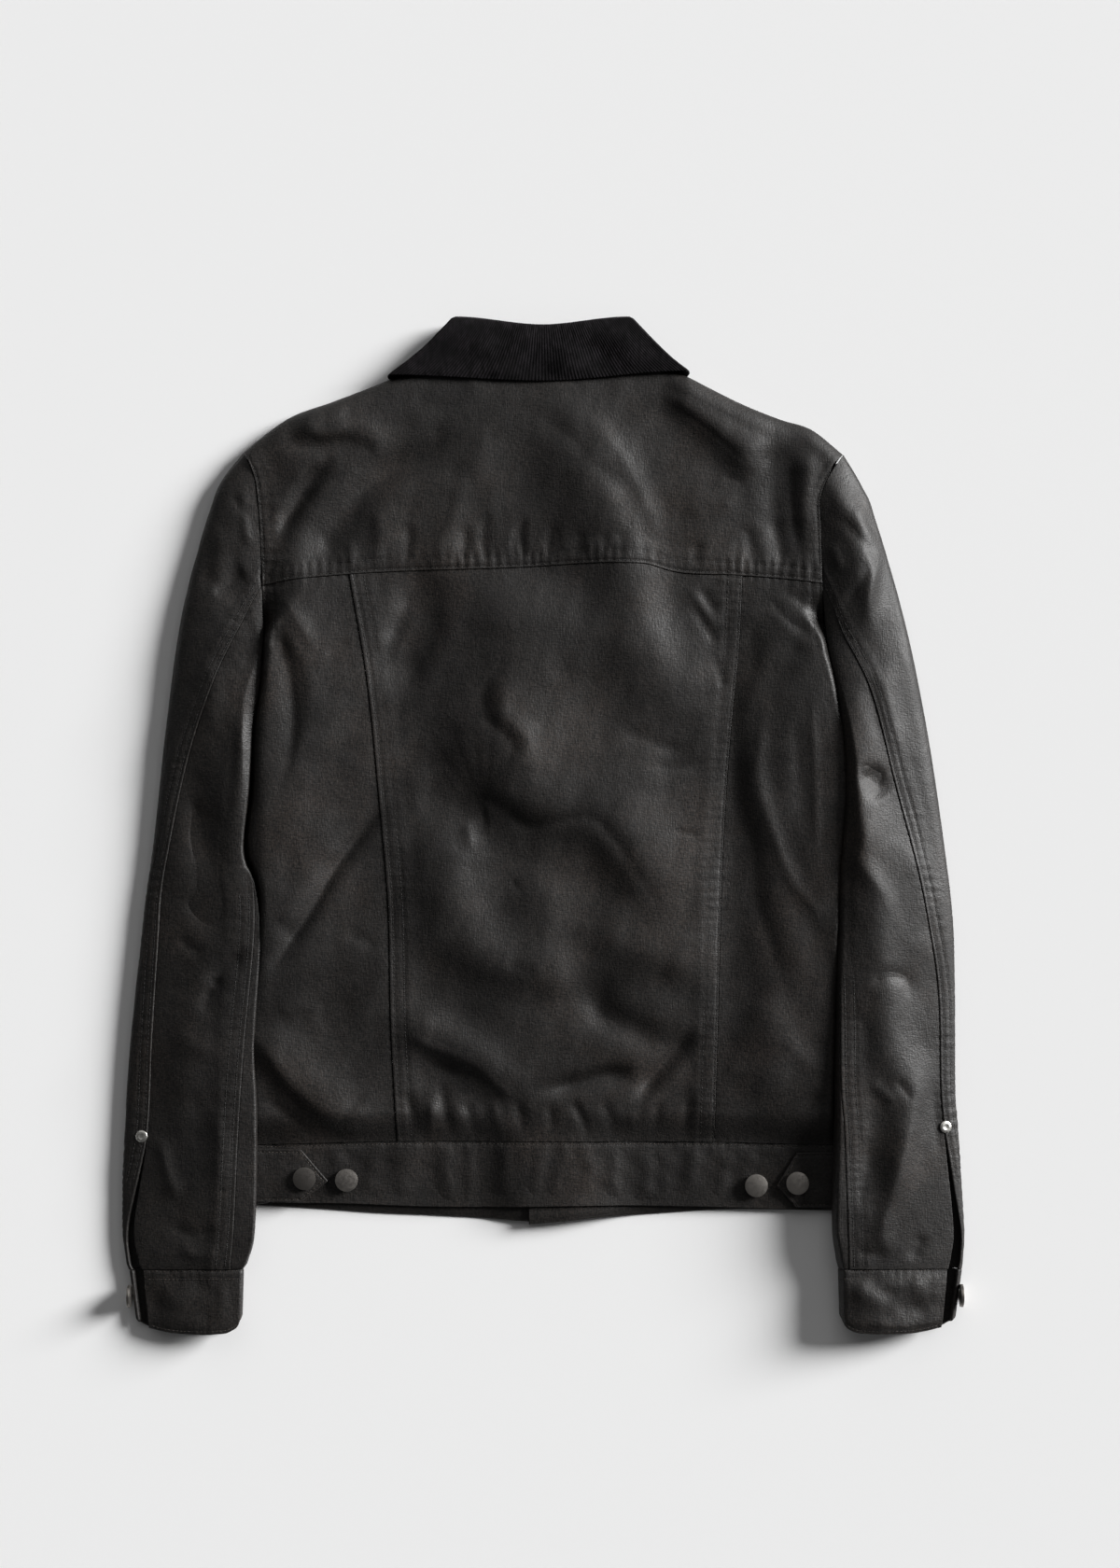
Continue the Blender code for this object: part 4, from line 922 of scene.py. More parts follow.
frontHollows = {    # soft hollows that a front keeps on the table
    -1: (
        (((-190, 150), (-150, 110), (-110, 90)), 9, 0.9, 0.4),
        (((-200, 40), (-160, 20), (-120, 30)), 8, 0.8, 0.4),
        (((-210, -60), (-170, -100), (-110, -110)), 8, 1.0, 0.5),
        (((-90, -40), (-70, -90), (-80, -150)), 10, 0.7, 0.3),
        (((-200, -190), (-150, -170), (-100, -185)), 8, 0.9, 0.4),
        (((-60, 120), (-70, 60), (-60, 10)), 9, 0.6, 0.3),
    ),
    1: (
        (((190, 140), (150, 120), (100, 70)), 9, 0.9, 0.4),
        (((205, 20), (170, 0), (130, 20)), 8, 0.8, 0.4),
        (((200, -50), (160, -80), (120, -130)), 8, 1.0, 0.5),
        (((80, -20), (100, -70), (90, -130)), 10, 0.7, 0.3),
        (((190, -180), (150, -200), (90, -190)), 8, 0.9, 0.4),
        (((80, 150), (95, 90), (85, 40)), 9, 0.6, 0.3),
    ),
}
for side, name in ((-1, "front_left"), (1, "front_right")):
    piece = clothWall(name + "Cloth", frontGrid(side, fronts["cloth"]), frontGrid(side, 0), waxed)
    finishPiece(piece, "waxed_cotton", name)
print("fronts made")


# waistband and side tabs

def bandRelief(x, fromTop, fromLow, seen):    # rolled edges, sewn rows and the small waves they draw
    s = waistband
    rolled = -0.4 * (1 - dome(fromTop / 0.8)) - 1.3 * (1 - dome(fromLow / 2.0))
    dips = -0.35 * (groove(fromTop - s["stitchTop"]) + groove(fromLow - s["stitchLow"]))
    drawn = 0.20 * pucker(x + 40) * np.exp(-fromTop / 5) + 0.22 * pucker(1.2 * x - 90) * np.exp(-fromLow / 6)
    soft = 0.8 * unevenness(x, fromTop, 21, 44) + 0.25 * unevenness(x, fromTop, 22, 18) - 0.06 * fromTop
    soft = soft + 0.8 * creases(s["folds"], x, -240 - fromTop) * ease(0, 3, fromLow)
    return rolled + (dips + drawn + soft) * seen


def bandGrid(xs, upper, lower, share):
    x = xs[None, :] + 0 * share[:, None]
    return x, mix(upper(xs)[None, :], lower(xs)[None, :], share[:, None])


def waistSeamLow(x):
    return curve(cut["waistSeam"], x) - halfGap


def hemBack(x):
    return curve(cut["hemBack"], x)


bandShares = gaps(48, 2.1, (0.3, 0.7, 1.2, 2.0))
bandXs = -232 + 464 * gaps(464, waistband["step"])


def bandSurface(x, y):
    top, low = waistSeamLow(x), curve(cut["hemBack"], x)
    seen = ease(1, 12, np.minimum(x + 214, 218 - x))
    return bandTop(x) + bandRelief(x, top - y, y - low, seen)


x, y = bandGrid(bandXs, waistSeamLow, hemBack, bandShares)
inner = gridOf(x, y, bandTop(x) - waistband["thick"] + 0.4)
band = clothWall("waistbandBackCloth", gridOf(x, y, bandSurface(x, y)), inner, waxed)
finishPiece(band, "waxed_cotton", "waistband_back")
for side, name, edge in ((-1, "waistband_front_left", "lapLeft"), (1, "waistband_front_right", "lapRight")):
    xs = mix(side * 232.0, cut[edge], gaps(abs(side * 232 - cut[edge]), 4.0))
    hem = cut["hemLeft" if side < 0 else "hemRight"]
    x, y = bandGrid(xs, waistSeamLow, lambda at: curve(hem, at), bandShares)
    under = bandUnder(side, x)
    low = curve(hem, x)
    rolled = 2.1 * (1 - dome((y - low) / 9.0)) + 0.3 * groove(y - low - 2.4)
    top = under + waistband["thick"] - rolled
    piece = clothWall(name + "Cloth", gridOf(x, y, top), gridOf(x, y, under), waxed)
    finishPiece(piece, "waxed_cotton", name)
print("waistband made")

tabs = {
    "thick": 1.6,
    "left": {
        "root": -222.0, "shoulder": -181.5, "tip": -161.0, "tipY": -268.5, "top": -244.5, "bottom": -284.5,
    },
    "right": {
        "root": 222.0, "shoulder": 191.0, "tip": 176.0, "tipY": -271.8, "top": -247.0, "bottom": -288.5,
    },
    "stitchIn": 2.2,
}


def tabEdges(t, x):    # the tab's upper and lower edge
    taper = np.clip((x - t["shoulder"]) / (t["tip"] - t["shoulder"]), 0, 1)
    return mix(t["top"], t["tipY"], taper), mix(t["bottom"], t["tipY"], taper)


def tabUnder(x, y):
    return bandTop(x) + seamGap + 0.35 + 0 * y


def tabTop(t, x, y):
    high, low = tabEdges(t, x)
    slope = abs((t["top"] - t["tipY"]) / (t["tip"] - t["shoulder"]))
    square = np.where((x - t["shoulder"]) * (t["tip"] - t["shoulder"]) > 0, 1 / math.hypot(1, slope), 1)
    d = np.minimum(high - y, y - low) * square
    rolled = -0.4 * (1 - dome(d / 0.8))
    sewn = -0.3 * groove(d - tabs["stitchIn"], 0.7)
    drawn = 0.22 * pucker(x + y) * np.exp(-d / 5) * ease(0, 1.5, d)
    return tabUnder(x, y) + tabs["thick"] - 0.7 + rolled + sewn + drawn + 0.25 * unevenness(x, y, 33, 20)


for name in ("left", "right"):
    t = tabs[name]
    reach = t["tip"] - t["root"]
    xs = mix(t["root"], t["tip"] - math.copysign(0.35, reach), gaps(abs(reach), 1.5))
    xs = np.sort(np.unique(np.append(xs, t["shoulder"])))
    high, low = tabEdges(t, xs)
    share = gaps(40, 1.6, (0.3, 0.7, 1.2, 1.8, 2.6))[:, None]
    x, y = xs[None, :] + 0 * share, mix(high[None, :], low[None, :], share)
    top = gridOf(x, y, tabTop(t, x, y))
    piece = clothWall("tab" + name.title() + "Cloth", top, gridOf(x, y, tabUnder(x, y)), waxed)
    finishPiece(piece, "waxed_cotton", "tab_" + name)
print("tabs made")


# sleeves, each a flattened tube of two pieces

sleeveColumns = ("outerX", "outerY", "innerX", "innerY", "crown", "backSeam", "underSeam", "vent", "lean")
sleeve = {
    "cloth": 1.6,
    "lift": 5.2,
    "tabLift": 7.9,
    "outerFold": 10.0,
    "outerRound": 60.0,
    "armholeRound": 24.0,
    "roll": {    # how far in from the inner edge the cloth goes on rising, one for each station
        -1: (12, 12, 12, 12, 12, 13, 14, 15, 15, 15, 15, 14, 14),
        1: (12, 14, 14, 14, 14, 24, 34, 42, 48, 50, 50, 46, 40),
    },
    "stand": {-1: (0.93, 0.93), 1: (0.66, 0.84)},    # share reached at once, above the elbow and below
    "standIn": {-1: 1.2, 1: 5.0},
    "leanMore": {-1: 1.4, 1: 1.7},
    "leanFrom": 0.45,    # share of the width at which the lean changes nothing
    "leanEnd": {-1: 0.72, 1: 1.0},
    "lower": {-1: 3.5, 1: 0.0},
    "ringStep": 2.4,
    "acrossStep": 1.9,
    "flatStep": 7.0,
}


def sleeveRest(side, x, y):
    past = (curve(cut["sideLeft" if side < 0 else "sideRight"], y) - x) * side
    lift = mix(sleeve["lift"], sleeve["tabLift"], ease(-200, -238, y))
    return lift * ease(-34, -14, past) * ease(172, 146, y) * ease(-338, -298, y)


def ringShare(s):
    top = np.arccos(1 - 2 * np.clip(s, 0, 1)) / (2 * np.pi)
    below = 1 - np.arccos(1 - 2 * np.clip(2 - s, 0, 1)) / (2 * np.pi)
    return np.where(np.asarray(s) <= 1, top, below)


def stationsOf(sl, at):    # the table's columns at places along the sleeve
    table = np.array(sl["rows"], float)
    return {k: curve(list(enumerate(table[:, i])), at) for i, k in enumerate(sleeveColumns)}


# takes arrays of stations and of places round the ring
def sleevePoint(sl, st, armhole, place, inset, fine=True):
    side = sl["side"]
    s = (1 - np.cos(2 * np.pi * place)) / 2
    over = place <= 0.5
    ox, oy, ix, iy = (st[k] for k in ("outerX", "outerY", "innerX", "innerY"))
    x, y = mix(ox, ix, s), mix(oy, iy, s)
    top = sl["rows"][0]
    seamY = mix(top[1], top[3], s)
    x = x + (curve(sl["armhole"], seamY) + side * seamGap - mix(top[0], top[2], s)) * armhole
    width = np.hypot(ix - ox, iy - oy)
    fromOuter, fromInner = s * width, (1 - s) * width
    squeeze = 1 - 2 * inset / width
    cx, cy = (ox + ix) / 2, (oy + iy) / 2
    x, y = cx + (x - cx) * squeeze, cy + (y - cy) * squeeze
    rest = sleeveRest(side, x, y)
    brows = mix(sleeveRest(side, ox, oy), sleeveRest(side, ix, iy), s) + brow
    middles = [-(r[1] + r[3]) / 2 for r in sl["rows"]]
    numbers = np.arange(len(middles))
    station = np.clip(np.interp(-(oy + iy) / 2, middles, numbers), 0, numbers[-1])
    roll = np.interp(station, numbers, sleeve["roll"][side])
    first = sleeve["standIn"][side]
    share = np.interp(station, (4, 8), sleeve["stand"][side])
    turnIn = share * dome(fromInner / first) + (1 - share) * ease(-6, roll, fromInner)
    turnIn = mix(turnIn, dome(fromInner / 4), armhole)
    leaning = np.minimum(s, sleeve["leanEnd"][side]) - sleeve["leanFrom"]
    crest = st["crown"] - sleeve["lower"][side] * (1 - armhole)
    crest = crest + st["lean"] * sleeve["leanMore"][side] * leaning - inset
    crest = crest + creases(sl["folds"], x, y) * ease(0, 22, fromOuter) * ease(0, 14, fromInner)
    if fine:
        crest = crest + creases(sl["creases"], x, y) * ease(0, 10, fromOuter) * ease(0, 8, fromInner)
        crest = crest + 0.35 * unevenness(x, y, 5 + side, 40) + 0.16 * unevenness(x, y, 15 + side, 16)
    longSlope = dome(fromOuter / mix(sleeve["outerRound"], sleeve["armholeRound"], armhole))
    rise = mix(dome(fromOuter / mix(sleeve["outerFold"], sleeve["armholeRound"], armhole)), longSlope, 0.7)
    up = brows + (crest - brows) * rise * turnIn
    near = np.minimum(fromOuter, fromInner)
    hollow = 0
    if fine:    # soft hollows of the side that lies on the table
        hollow = 1.1 * ease(0.1, 0.9, unevenness(x, y, 44 + side, 60, 4)) * ease(8, 22, near)
    low = rest + hollow + inset + (brows - rest - inset) * (1 - dome(near / brow))
    return gridOf(x, y, np.where(over, up, low))


def ringPlaces(sl, st, start, end, count):    # even steps over the cloth between two places round the ring
    fine = np.linspace(0, 1, 161)[None, :]
    place = mix(start[:, None], end[:, None], fine)
    grid = {k: v[:, None] for k, v in st.items()}
    points = sleevePoint(sl, grid, np.zeros((len(start), 1)), place % 1.0, 0.0, False)
    step = np.linalg.norm(np.diff(points, axis=1), axis=2)
    middle = (place[:, 1:] + place[:, :-1]) / 2 % 1.0
    cost = step / np.where(middle <= 0.5, sleeve["acrossStep"], sleeve["flatStep"]) + 1e-6
    done = np.concatenate([np.zeros((len(start), 1)), np.cumsum(cost, axis=1)], axis=1)
    ends = np.array([0, 0.25, 0.6])
    want = np.concatenate([ends, np.linspace(1, count - 1, count - 1), count - ends[::-1]]) / count
    return np.array([np.interp(want * d[-1], d, p) for d, p in zip(done, place)])


def sleeveGrids(sl, start, end, count):
    rings = int(590 / sleeve["ringStep"])
    edge = np.array([0, 0.012, 0.03, 0.055])
    rows = len(sl["rows"])
    at = np.concatenate([edge, np.linspace(0.09, rows - 1.03, rings), [rows - 1.01, rows - 1]])
    length = np.linspace(0, rows - 1, 400)
    st = stationsOf(sl, length)
    middleX, middleY = (st["outerX"] + st["innerX"]) / 2, (st["outerY"] + st["innerY"]) / 2
    gone = np.concatenate([[0], np.cumsum(np.hypot(np.diff(middleY), np.diff(middleX)))])
    share = (at - at[0]) / (at[-1] - at[0])
    at = np.concatenate([at[:4], np.interp(share[4:] * gone[-1], gone, length)])
    at = np.unique(np.round(at, 5))
    st = stationsOf(sl, at)
    width = np.hypot(st["innerX"] - st["outerX"], st["innerY"] - st["outerY"])
    place = ringPlaces(sl, st, start(st, width), end(st, width), count)
    armhole = (1 - ease(0, 4.0, at))[:, None]
    grid = {k: v[:, None] for k, v in st.items()}
    outer = sleevePoint(sl, grid, armhole, place % 1.0, 0.0)
    inner = sleevePoint(sl, grid, armhole, place % 1.0, sleeve["cloth"], False)
    return at, st, width, place, outer, inner


def backSeam(st, width):
    return ringShare(st["backSeam"])


def underSeam(st, width):
    return ringShare(st["underSeam"])


def underSeamPast(st, width):
    return underSeam(st, width) + seamGap / width / 2


def backSeamRound(st, width):
    return 1 + ringShare(np.maximum(st["backSeam"] - (np.maximum(st["vent"], 0) + seamGap) / width, 0.004))


def surfaceNormals(grid):
    n = np.cross(np.gradient(grid, axis=1), np.gradient(grid, axis=0))
    return n / np.maximum(np.linalg.norm(n, axis=2, keepdims=True), 1e-9)


sleeveSeams = {"back": (2.8, 8.4), "under": (4.0, 11.0)}
sewnLines = {"dark": [], "worn": []}    # (points, normals) of every row of stitches


for sl in (sleeveLeft, sleeveRight):
    name = sl["name"]
    # the underside piece, seen from above between the back seam and the inner edge
    at, st, width, place, outer, inner = sleeveGrids(sl, backSeam, underSeam, 42)
    normals = surfaceNormals(outer)
    normals *= np.sign(normals[:, len(normals[0]) // 3, 2].mean())
    fromStart = lengthAcross(outer)
    fromUnder = fromStart[:, -1:] - fromStart
    showsUnder = (st["underSeam"] < 0.99)[:, None]
    sewn = lapSeam(fromUnder, outer[:, :, 1], sleeveSeams["under"]) * showsUnder
    relief = underLap(fromStart, outer[:, :, 1]) + sewn * ease(0.99, 0.95, st["underSeam"])[:, None]
    underGrid = outer + normals * (relief * ease(0, 0.25, at)[:, None])[:, :, None]
    piece = clothWall("sleeveUnder" + name.title() + "Cloth", underGrid, inner, waxed)
    finishPiece(piece, "waxed_cotton", "sleeve_under_" + name)
    sl.update(underGrid=underGrid, fromUnder=fromUnder, underNormals=normals, underSt=st)
    # the top piece wraps on under the sleeve, round its outer edge and up to the back seam
    at, st, width, place, outer, inner = sleeveGrids(sl, underSeamPast, backSeamRound, 52)
    normals = surfaceNormals(outer)
    normals *= np.sign(normals[:, -6, 2].mean())
    fromStart = lengthAcross(outer)
    fromBack = fromStart[:, -1:] - fromStart
    relief = lapSeam(fromBack, outer[:, :, 1], sleeveSeams["back"])
    closed = ease(4.0, 1.0, st["vent"])[:, None]
    relief = relief * closed * ease(0, 0.25, at)[:, None] * ease(20, 15, fromBack)
    topGrid = outer + normals * relief[:, :, None]
    piece = clothWall("sleeveTop" + name.title() + "Cloth", topGrid, inner, waxed)
    finishPiece(piece, "waxed_cotton", "sleeve_top_" + name)
    sl.update(topGrid=topGrid, fromBack=fromBack, topNormals=normals, topSt=st, topAt=at)
print("sleeves made")

cuff = {
    "thick": 2.5,
    "hem": (    # share across from the outer edge, to the cuff's length
        (0, 37), (0.06, 41), (0.2, 45), (0.35, 47.5), (0.55, 48.6), (0.75, 48.4), (0.9, 46.2),
        (0.97, 41.5), (1, 36),
    ),
    "folds": {    # path, width, height
        -1: (
            (((-300, -342), (-282, -352), (-262, -366)), 9, 1.3),
            (((-268, -340), (-252, -350), (-238, -352)), 7, -1.0),
            (((-296, -366), (-270, -374), (-248, -371)), 7, 1.0),
            (((-285, -340), (-290, -358), (-286, -378)), 6, -0.8),
            (((-244, -342), (-240, -360), (-243, -378)), 6, 1.0),
        ),
        1: (
            (((238, -336), (240, -360), (238, -386)), 40, 3.0, 0, -0.7),
            (((232, -347), (244, -353), (258, -363)), 7, 1.2),
            (((240, -340), (254, -348), (270, -357)), 6, -1.0),
            (((272, -343), (286, -349), (300, -357)), 8, 1.2),
            (((262, -366), (278, -362), (292, -368)), 6, -1.1),
            (((246, -372), (262, -379), (280, -378)), 6, 1.1),
            (((292, -340), (290, -352), (296, -366)), 5, -0.8),
        ),
    },
    "stitchTop": (0.9, 7.0),
    "stitchLow": 2.4,
}


def cuffGrid(sl, inset):
    last = stationsOf(sl, np.array([len(sl["rows"]) - 1.0]))
    last = {k: float(v[0]) for k, v in last.items()}
    width = math.hypot(last["innerX"] - last["outerX"], last["innerY"] - last["outerY"])
    start = ringShare(last["backSeam"] + 0.01)
    end = 1 + ringShare(last["backSeam"] - last["vent"] / width)
    st1 = {k: np.array([v]) for k, v in last.items()}
    place = ringPlaces(sl, st1, np.array([float(start)]), np.array([float(end)]), 66)
    shares = gaps(48, 2.1, (0.3, 0.8, 1.4, 2.2))[:, None]
    st = {k: np.full_like(shares, v) for k, v in last.items()}
    st["outerY"] = st["outerY"] - seamGap
    st["innerY"] = st["innerY"] - seamGap
    st["outerX"] = st["outerX"] - sl["side"] * shares * 5
    st["innerX"] = st["innerX"] + sl["side"] * shares
    places = np.repeat(place % 1.0, len(shares), axis=0)
    grid = sleevePoint(sl, st, 0.0, places, inset, False)
    s = (1 - np.cos(2 * np.pi * places)) / 2
    grid[:, :, 1] -= curve(cuff["hem"], s) * shares
    return grid, curve(cuff["hem"], s) * shares, curve(cuff["hem"], s) * (1 - shares)


for sl in (sleeveLeft, sleeveRight):
    outer, fromTop, fromLow = cuffGrid(sl, 0.0)
    inner, _, _ = cuffGrid(sl, cuff["thick"])
    normals = surfaceNormals(outer)
    normals *= np.sign(normals[len(normals) // 2, 6, 2])
    around = np.cumsum(np.linalg.norm(np.diff(outer[:1], axis=1, prepend=outer[:1, :1]), axis=2), axis=1)
    rolled = -0.8 * (1 - dome(fromTop / 1.4)) - 1.0 * (1 - dome(fromLow / 1.8))
    dips = -0.32 * sum(groove(fromTop - r) for r in cuff["stitchTop"])
    dips = dips - 0.32 * groove(fromLow - cuff["stitchLow"])
    drawn = 0.28 * pucker(around + 12) * np.exp(-fromTop / 8)
    drawn = drawn + 0.25 * pucker(around * 1.1) * np.exp(-fromLow / 7)
    lumps = 0.35 * unevenness(outer[:, :, 0], outer[:, :, 1], 60 + sl["side"], 26)
    folds = creases(cuff["folds"][sl["side"]], outer[:, :, 0], outer[:, :, 1])
    lumps = lumps + folds * ease(1, 7, fromTop) * ease(0, 6, fromLow)
    seen = ease(7.5, 11, outer[:, :, 2])
    grid = outer + normals * (rolled + (dips + drawn + lumps) * seen)[:, :, None]
    piece = clothWall("cuff" + sl["name"].title() + "Cloth", grid, inner, waxed)
    finishPiece(piece, "waxed_cotton", "cuff_" + sl["name"])
    sl.update(cuffGrid=grid, cuffTop=fromTop, cuffLow=fromLow, cuffNormals=normals)
print("cuffs made")


# corduroy collar: one folded band round the neck, its wales standing up and down

collar = {
    "thick": 2.0,
    "wale": 2.35,
    "height": 0.34,
    "samples": 5,
    "lines": (    # line, backHalf, backY, backMidY, backZ, frontZ, frontX, frontY
        (0.0, 84, 346, 345.5, 10.3, 5.0, 12, 256),
        (0.35, 76, 362, 359.5, 11.0, 5.2, 12, 268),
        (0.47, 66, 375.5, 372, 12.0, 4.6, 12, 276),
        (0.52, 65, 379.6, 373.6, 14.0, 3.0, 12, 277),
        (0.6, 74, 370, 366, 15.6, 1.3, 16, 266),
        (0.8, 93, 352, 348, 15.4, 1.0, 38, 236),
        (1.0, 113.5, 336.5, 332, 14.6, 1.0, 60, 206),
    ),
}


# turn is 0 at the left front tip, 0.5 at the back neck, 1 at the right front tip
def collarPoint(turn, line):
    turn, line = np.broadcast_arrays(np.asarray(turn, float), np.asarray(line, float))
    columns = np.array(collar["lines"], float)
    half, backY, midY, backZ, frontZ, frontX, frontY = (
        curve(columns[:, (0, i)], line) for i in range(1, 8)
    )
    side = np.where(turn < 0.5, -1.0, 1.0)
    shorter = (side > 0) * ease(0.7, 1.0, line)
    half, backY = half - 5.5 * shorter, backY + 3.0 * shorter
    q = np.abs(turn - 0.5) * 2
    share = q / 0.5    # along the back
    bx, by, bz = half * share, mix(midY, backY, ease(0, 1, share)), backZ
    angle = np.clip((q - 0.5) / 0.16, 0, 1) * np.pi    # round the side of the neck
    radius = (backZ - frontZ) / 2
    sx, sy = half + 0.35 * radius * np.sin(angle), backY - 1.5 * (1 - np.cos(angle))
    sz = frontZ + radius * (1 + np.cos(angle))
    down = np.clip((q - 0.66) / 0.34, 0, 1)    # down a front, under the chest
    bend = np.sin(down * np.pi) * 0.12
    fx, fy, fz = mix(half, frontX, down ** 1.25), mix(backY - 3.0, frontY, down - bend), frontZ
    x, y, z = (
        np.where(q < 0.5, back, np.where(q < 0.66, turned, front))
        for back, turned, front in ((bx, sx, fx), (by, sy, fy), (bz, sz, fz))
    )
    return gridOf(side * x, y, z)


def collarTurns():    # places along the collar, a fixed number for each wale
    fine = np.linspace(0, 1, 2001)
    points = collarPoint(fine, 0.9)
    gone = lengthAlong(points)
    wales = int(gone[-1] / collar["wale"])
    want = np.linspace(0, 1, wales * collar["samples"] + 1)
    return np.interp(want * gone[-1], gone, fine), want * wales


turns, waleAt = collarTurns()
lines = np.array([
    0, 0.12, 0.25, 0.34, 0.41, 0.45, 0.475, 0.495, 0.515, 0.54, 0.575,
    0.62, 0.68, 0.74, 0.8, 0.86, 0.91, 0.945, 0.97, 0.985, 0.995, 1.0,
])
middle = collarPoint(turns[None, :], lines[:, None])
normal = surfaceNormals(middle)
ridge = 0.5 + 0.5 * np.cos(2 * np.pi * waleAt)
ridge = ridge ** 0.7
uneven = 1 + 0.22 * unevenness(middle[:, :, 0], middle[:, :, 1], 71, 14)
edgeIn = (1 - lines)[:, None] * 44
flatten = 1 - 0.55 * groove(edgeIn - 6.0, 1.0) * (lines > 0.6)[:, None]
raised = collar["height"] * ridge[None, :] * uneven * flatten
soft = 1.7 * unevenness(middle[:, :, 0], middle[:, :, 1], 72, 46)
soft = soft + 0.9 * unevenness(middle[:, :, 0], middle[:, :, 1], 77, 22)
soft = soft * ease(0.55, 0.65, lines)[:, None] * ease(1, 0.9, lines)[:, None]
soft = soft * ease(0.6, 0.48, np.abs(turns - 0.5) * 2)
rolledEdge = dome((edgeIn + 0.15) / 1.6)
outward = np.sign(normal[15, len(turns) // 2, 2])
thick = (collar["thick"] / 2 - 0.4) * (0.25 + 0.75 * rolledEdge)
outerSkin = middle + outward * normal * (thick + raised + soft)[:, :, None]
innerSkin = middle - outward * normal * (collar["thick"] / 2)
collarPiece = clothWall("collarCloth", outerSkin, innerSkin, cord)
# the wale crowns, which set how much painted groove shade each point gets
wale = collarPiece.data.attributes.new("wale", "FLOAT", "POINT")
crown = np.repeat((ridge ** 1.2)[None, :], len(lines), axis=0).ravel()
wale.data.foreach_set("value", np.concatenate([crown, crown]).astype(np.float32))
finishPiece(collarPiece, "corduroy", "collar")
print("collar made")


# stitches: one short capsule, bent into every hole of every row

def capsule(sides=5):    # a stitch along x, of unit length, its ends sunk into the cloth
    rings = ((-0.5, 0.35, -0.5), (-0.36, 0.9, -0.05), (0.0, 1.0, 0.15), (0.36, 0.9, -0.05), (0.5, 0.35, -0.5))
    angles = np.arange(sides) * 2 * np.pi / sides + 0.3
    points = np.array([[x, r * np.cos(a), r * np.sin(a) + lift] for x, r, lift in rings for a in angles])
    faces = []
    for k in range(len(rings) - 1):
        for i in range(sides):
            j = (i + 1) % sides
            a, b, c, d = k * sides + i, k * sides + j, (k + 1) * sides + j, (k + 1) * sides + i
            faces += [(a, b, c), (a, c, d)]
    for i in range(1, sides - 1):
        faces += [(0, i + 1, i), (len(points) - sides, len(points) - sides + i, len(points) - sides + i + 1)]
    return points, np.array(faces)


def rowOver(path, height, kind="dark"):    # points and normals of a row of stitches on a height field
    path = np.asarray(path, float)
    z = height(path[:, 0], path[:, 1])
    zx = (height(path[:, 0] + 0.4, path[:, 1]) - height(path[:, 0] - 0.4, path[:, 1])) / 0.8
    zy = (height(path[:, 0], path[:, 1] + 0.4) - height(path[:, 0], path[:, 1] - 0.4)) / 0.8
    normals = gridOf(-zx, -zy, np.ones_like(z))
    normals /= np.linalg.norm(normals, axis=1, keepdims=True)
    sewnLines[kind].append((np.column_stack([path, z]), normals))


def plan(start, end, other, offset, along="y"):    # a fine plan line beside a seam curve
    t = np.linspace(start, end, max(8, int(abs(end - start) / 0.8)))
    u = other(t) + offset
    return np.column_stack([u, t]) if along == "y" else np.column_stack([t, u])


def heightWith(relief):
    return lambda x, y: backForm(x, y) + relief(x, y)


yokeHeight, centerHeight, sideHeight = (heightWith(r) for r in (yokeRelief, centerRelief, sideRelief))
for d in seamRows["yoke"]:
    rowOver(plan(-207, 207, lambda t: curve(cut["yokeSeam"], t), d, "x"), yokeHeight)
for d in seamRows["princessLeft"]:
    rowOver(plan(187, -238, lambda t: curve(cut["princessLeft"], t), d), centerHeight)
for d in seamRows["princessRight"]:
    rowOver(plan(191, -238, lambda t: curve(cut["princessRight"], t), -d), centerHeight)
for d in seamRows["armhole"]:
    rowOver(plan(184, 272 - d * 0.3, lambda t: curve(cut["armholeLeft"], t), d), yokeHeight)
    rowOver(plan(182, 268 - d * 0.3, lambda t: curve(cut["armholeRight"], t), -d), yokeHeight)
    rowOver(plan(134, 176, lambda t: curve(cut["armholeLeft"], t), d), sideHeight)
    rowOver(plan(132, 174, lambda t: curve(cut["armholeRight"], t), -d), sideHeight)
rowOver(plan(-212, 214, waistSeamLow, -waistband["stitchTop"], "x"), bandSurface, "worn")
rowOver(plan(-228, 228, hemBack, waistband["stitchLow"], "x"), bandSurface, "worn")


def tabRow(t):    # round the tab, an even way in from its edge
    inset = tabs["stitchIn"]
    way = math.copysign(1, t["tip"] - t["root"])
    start, shoulder, tip = t["root"] + 8 * way, t["shoulder"] - 0.6 * way, t["tip"] - 3.6 * way
    high, low = t["top"] - inset, t["bottom"] + inset
    corners = [(start, high), (shoulder, high), (tip, t["tipY"]), (shoulder, low), (start, low)]
    out = []
    for (ax, ay), (bx, by) in zip(corners[:-1], corners[1:]):
        steps = np.linspace(0, 1, max(4, int(math.hypot(bx - ax, by - ay) / 0.8)))[:-1]
        out += [(mix(ax, bx, q), mix(ay, by, q)) for q in steps]
    return out + [corners[-1]]


for name in ("left", "right"):
    rowOver(tabRow(tabs[name]), lambda x, y, t=tabs[name]: tabTop(t, x, y), "worn")


# a row of stitches an even way in from a grid's long edge
def rowOnPiece(grid, normals, distance, d, keep, kind="dark"):
    points, ups = [], []
    for ring, up, far, use in zip(grid, normals, distance, keep):
        if not use:
            continue
        order = np.argsort(far)
        points.append([np.interp(d, far[order], ring[order, k]) for k in range(3)])
        ups.append([np.interp(d, far[order], up[order, k]) for k in range(3)])
    points, ups = np.array(points), np.array(ups)
    sewnLines[kind].append((points, ups / np.linalg.norm(ups, axis=1, keepdims=True)))


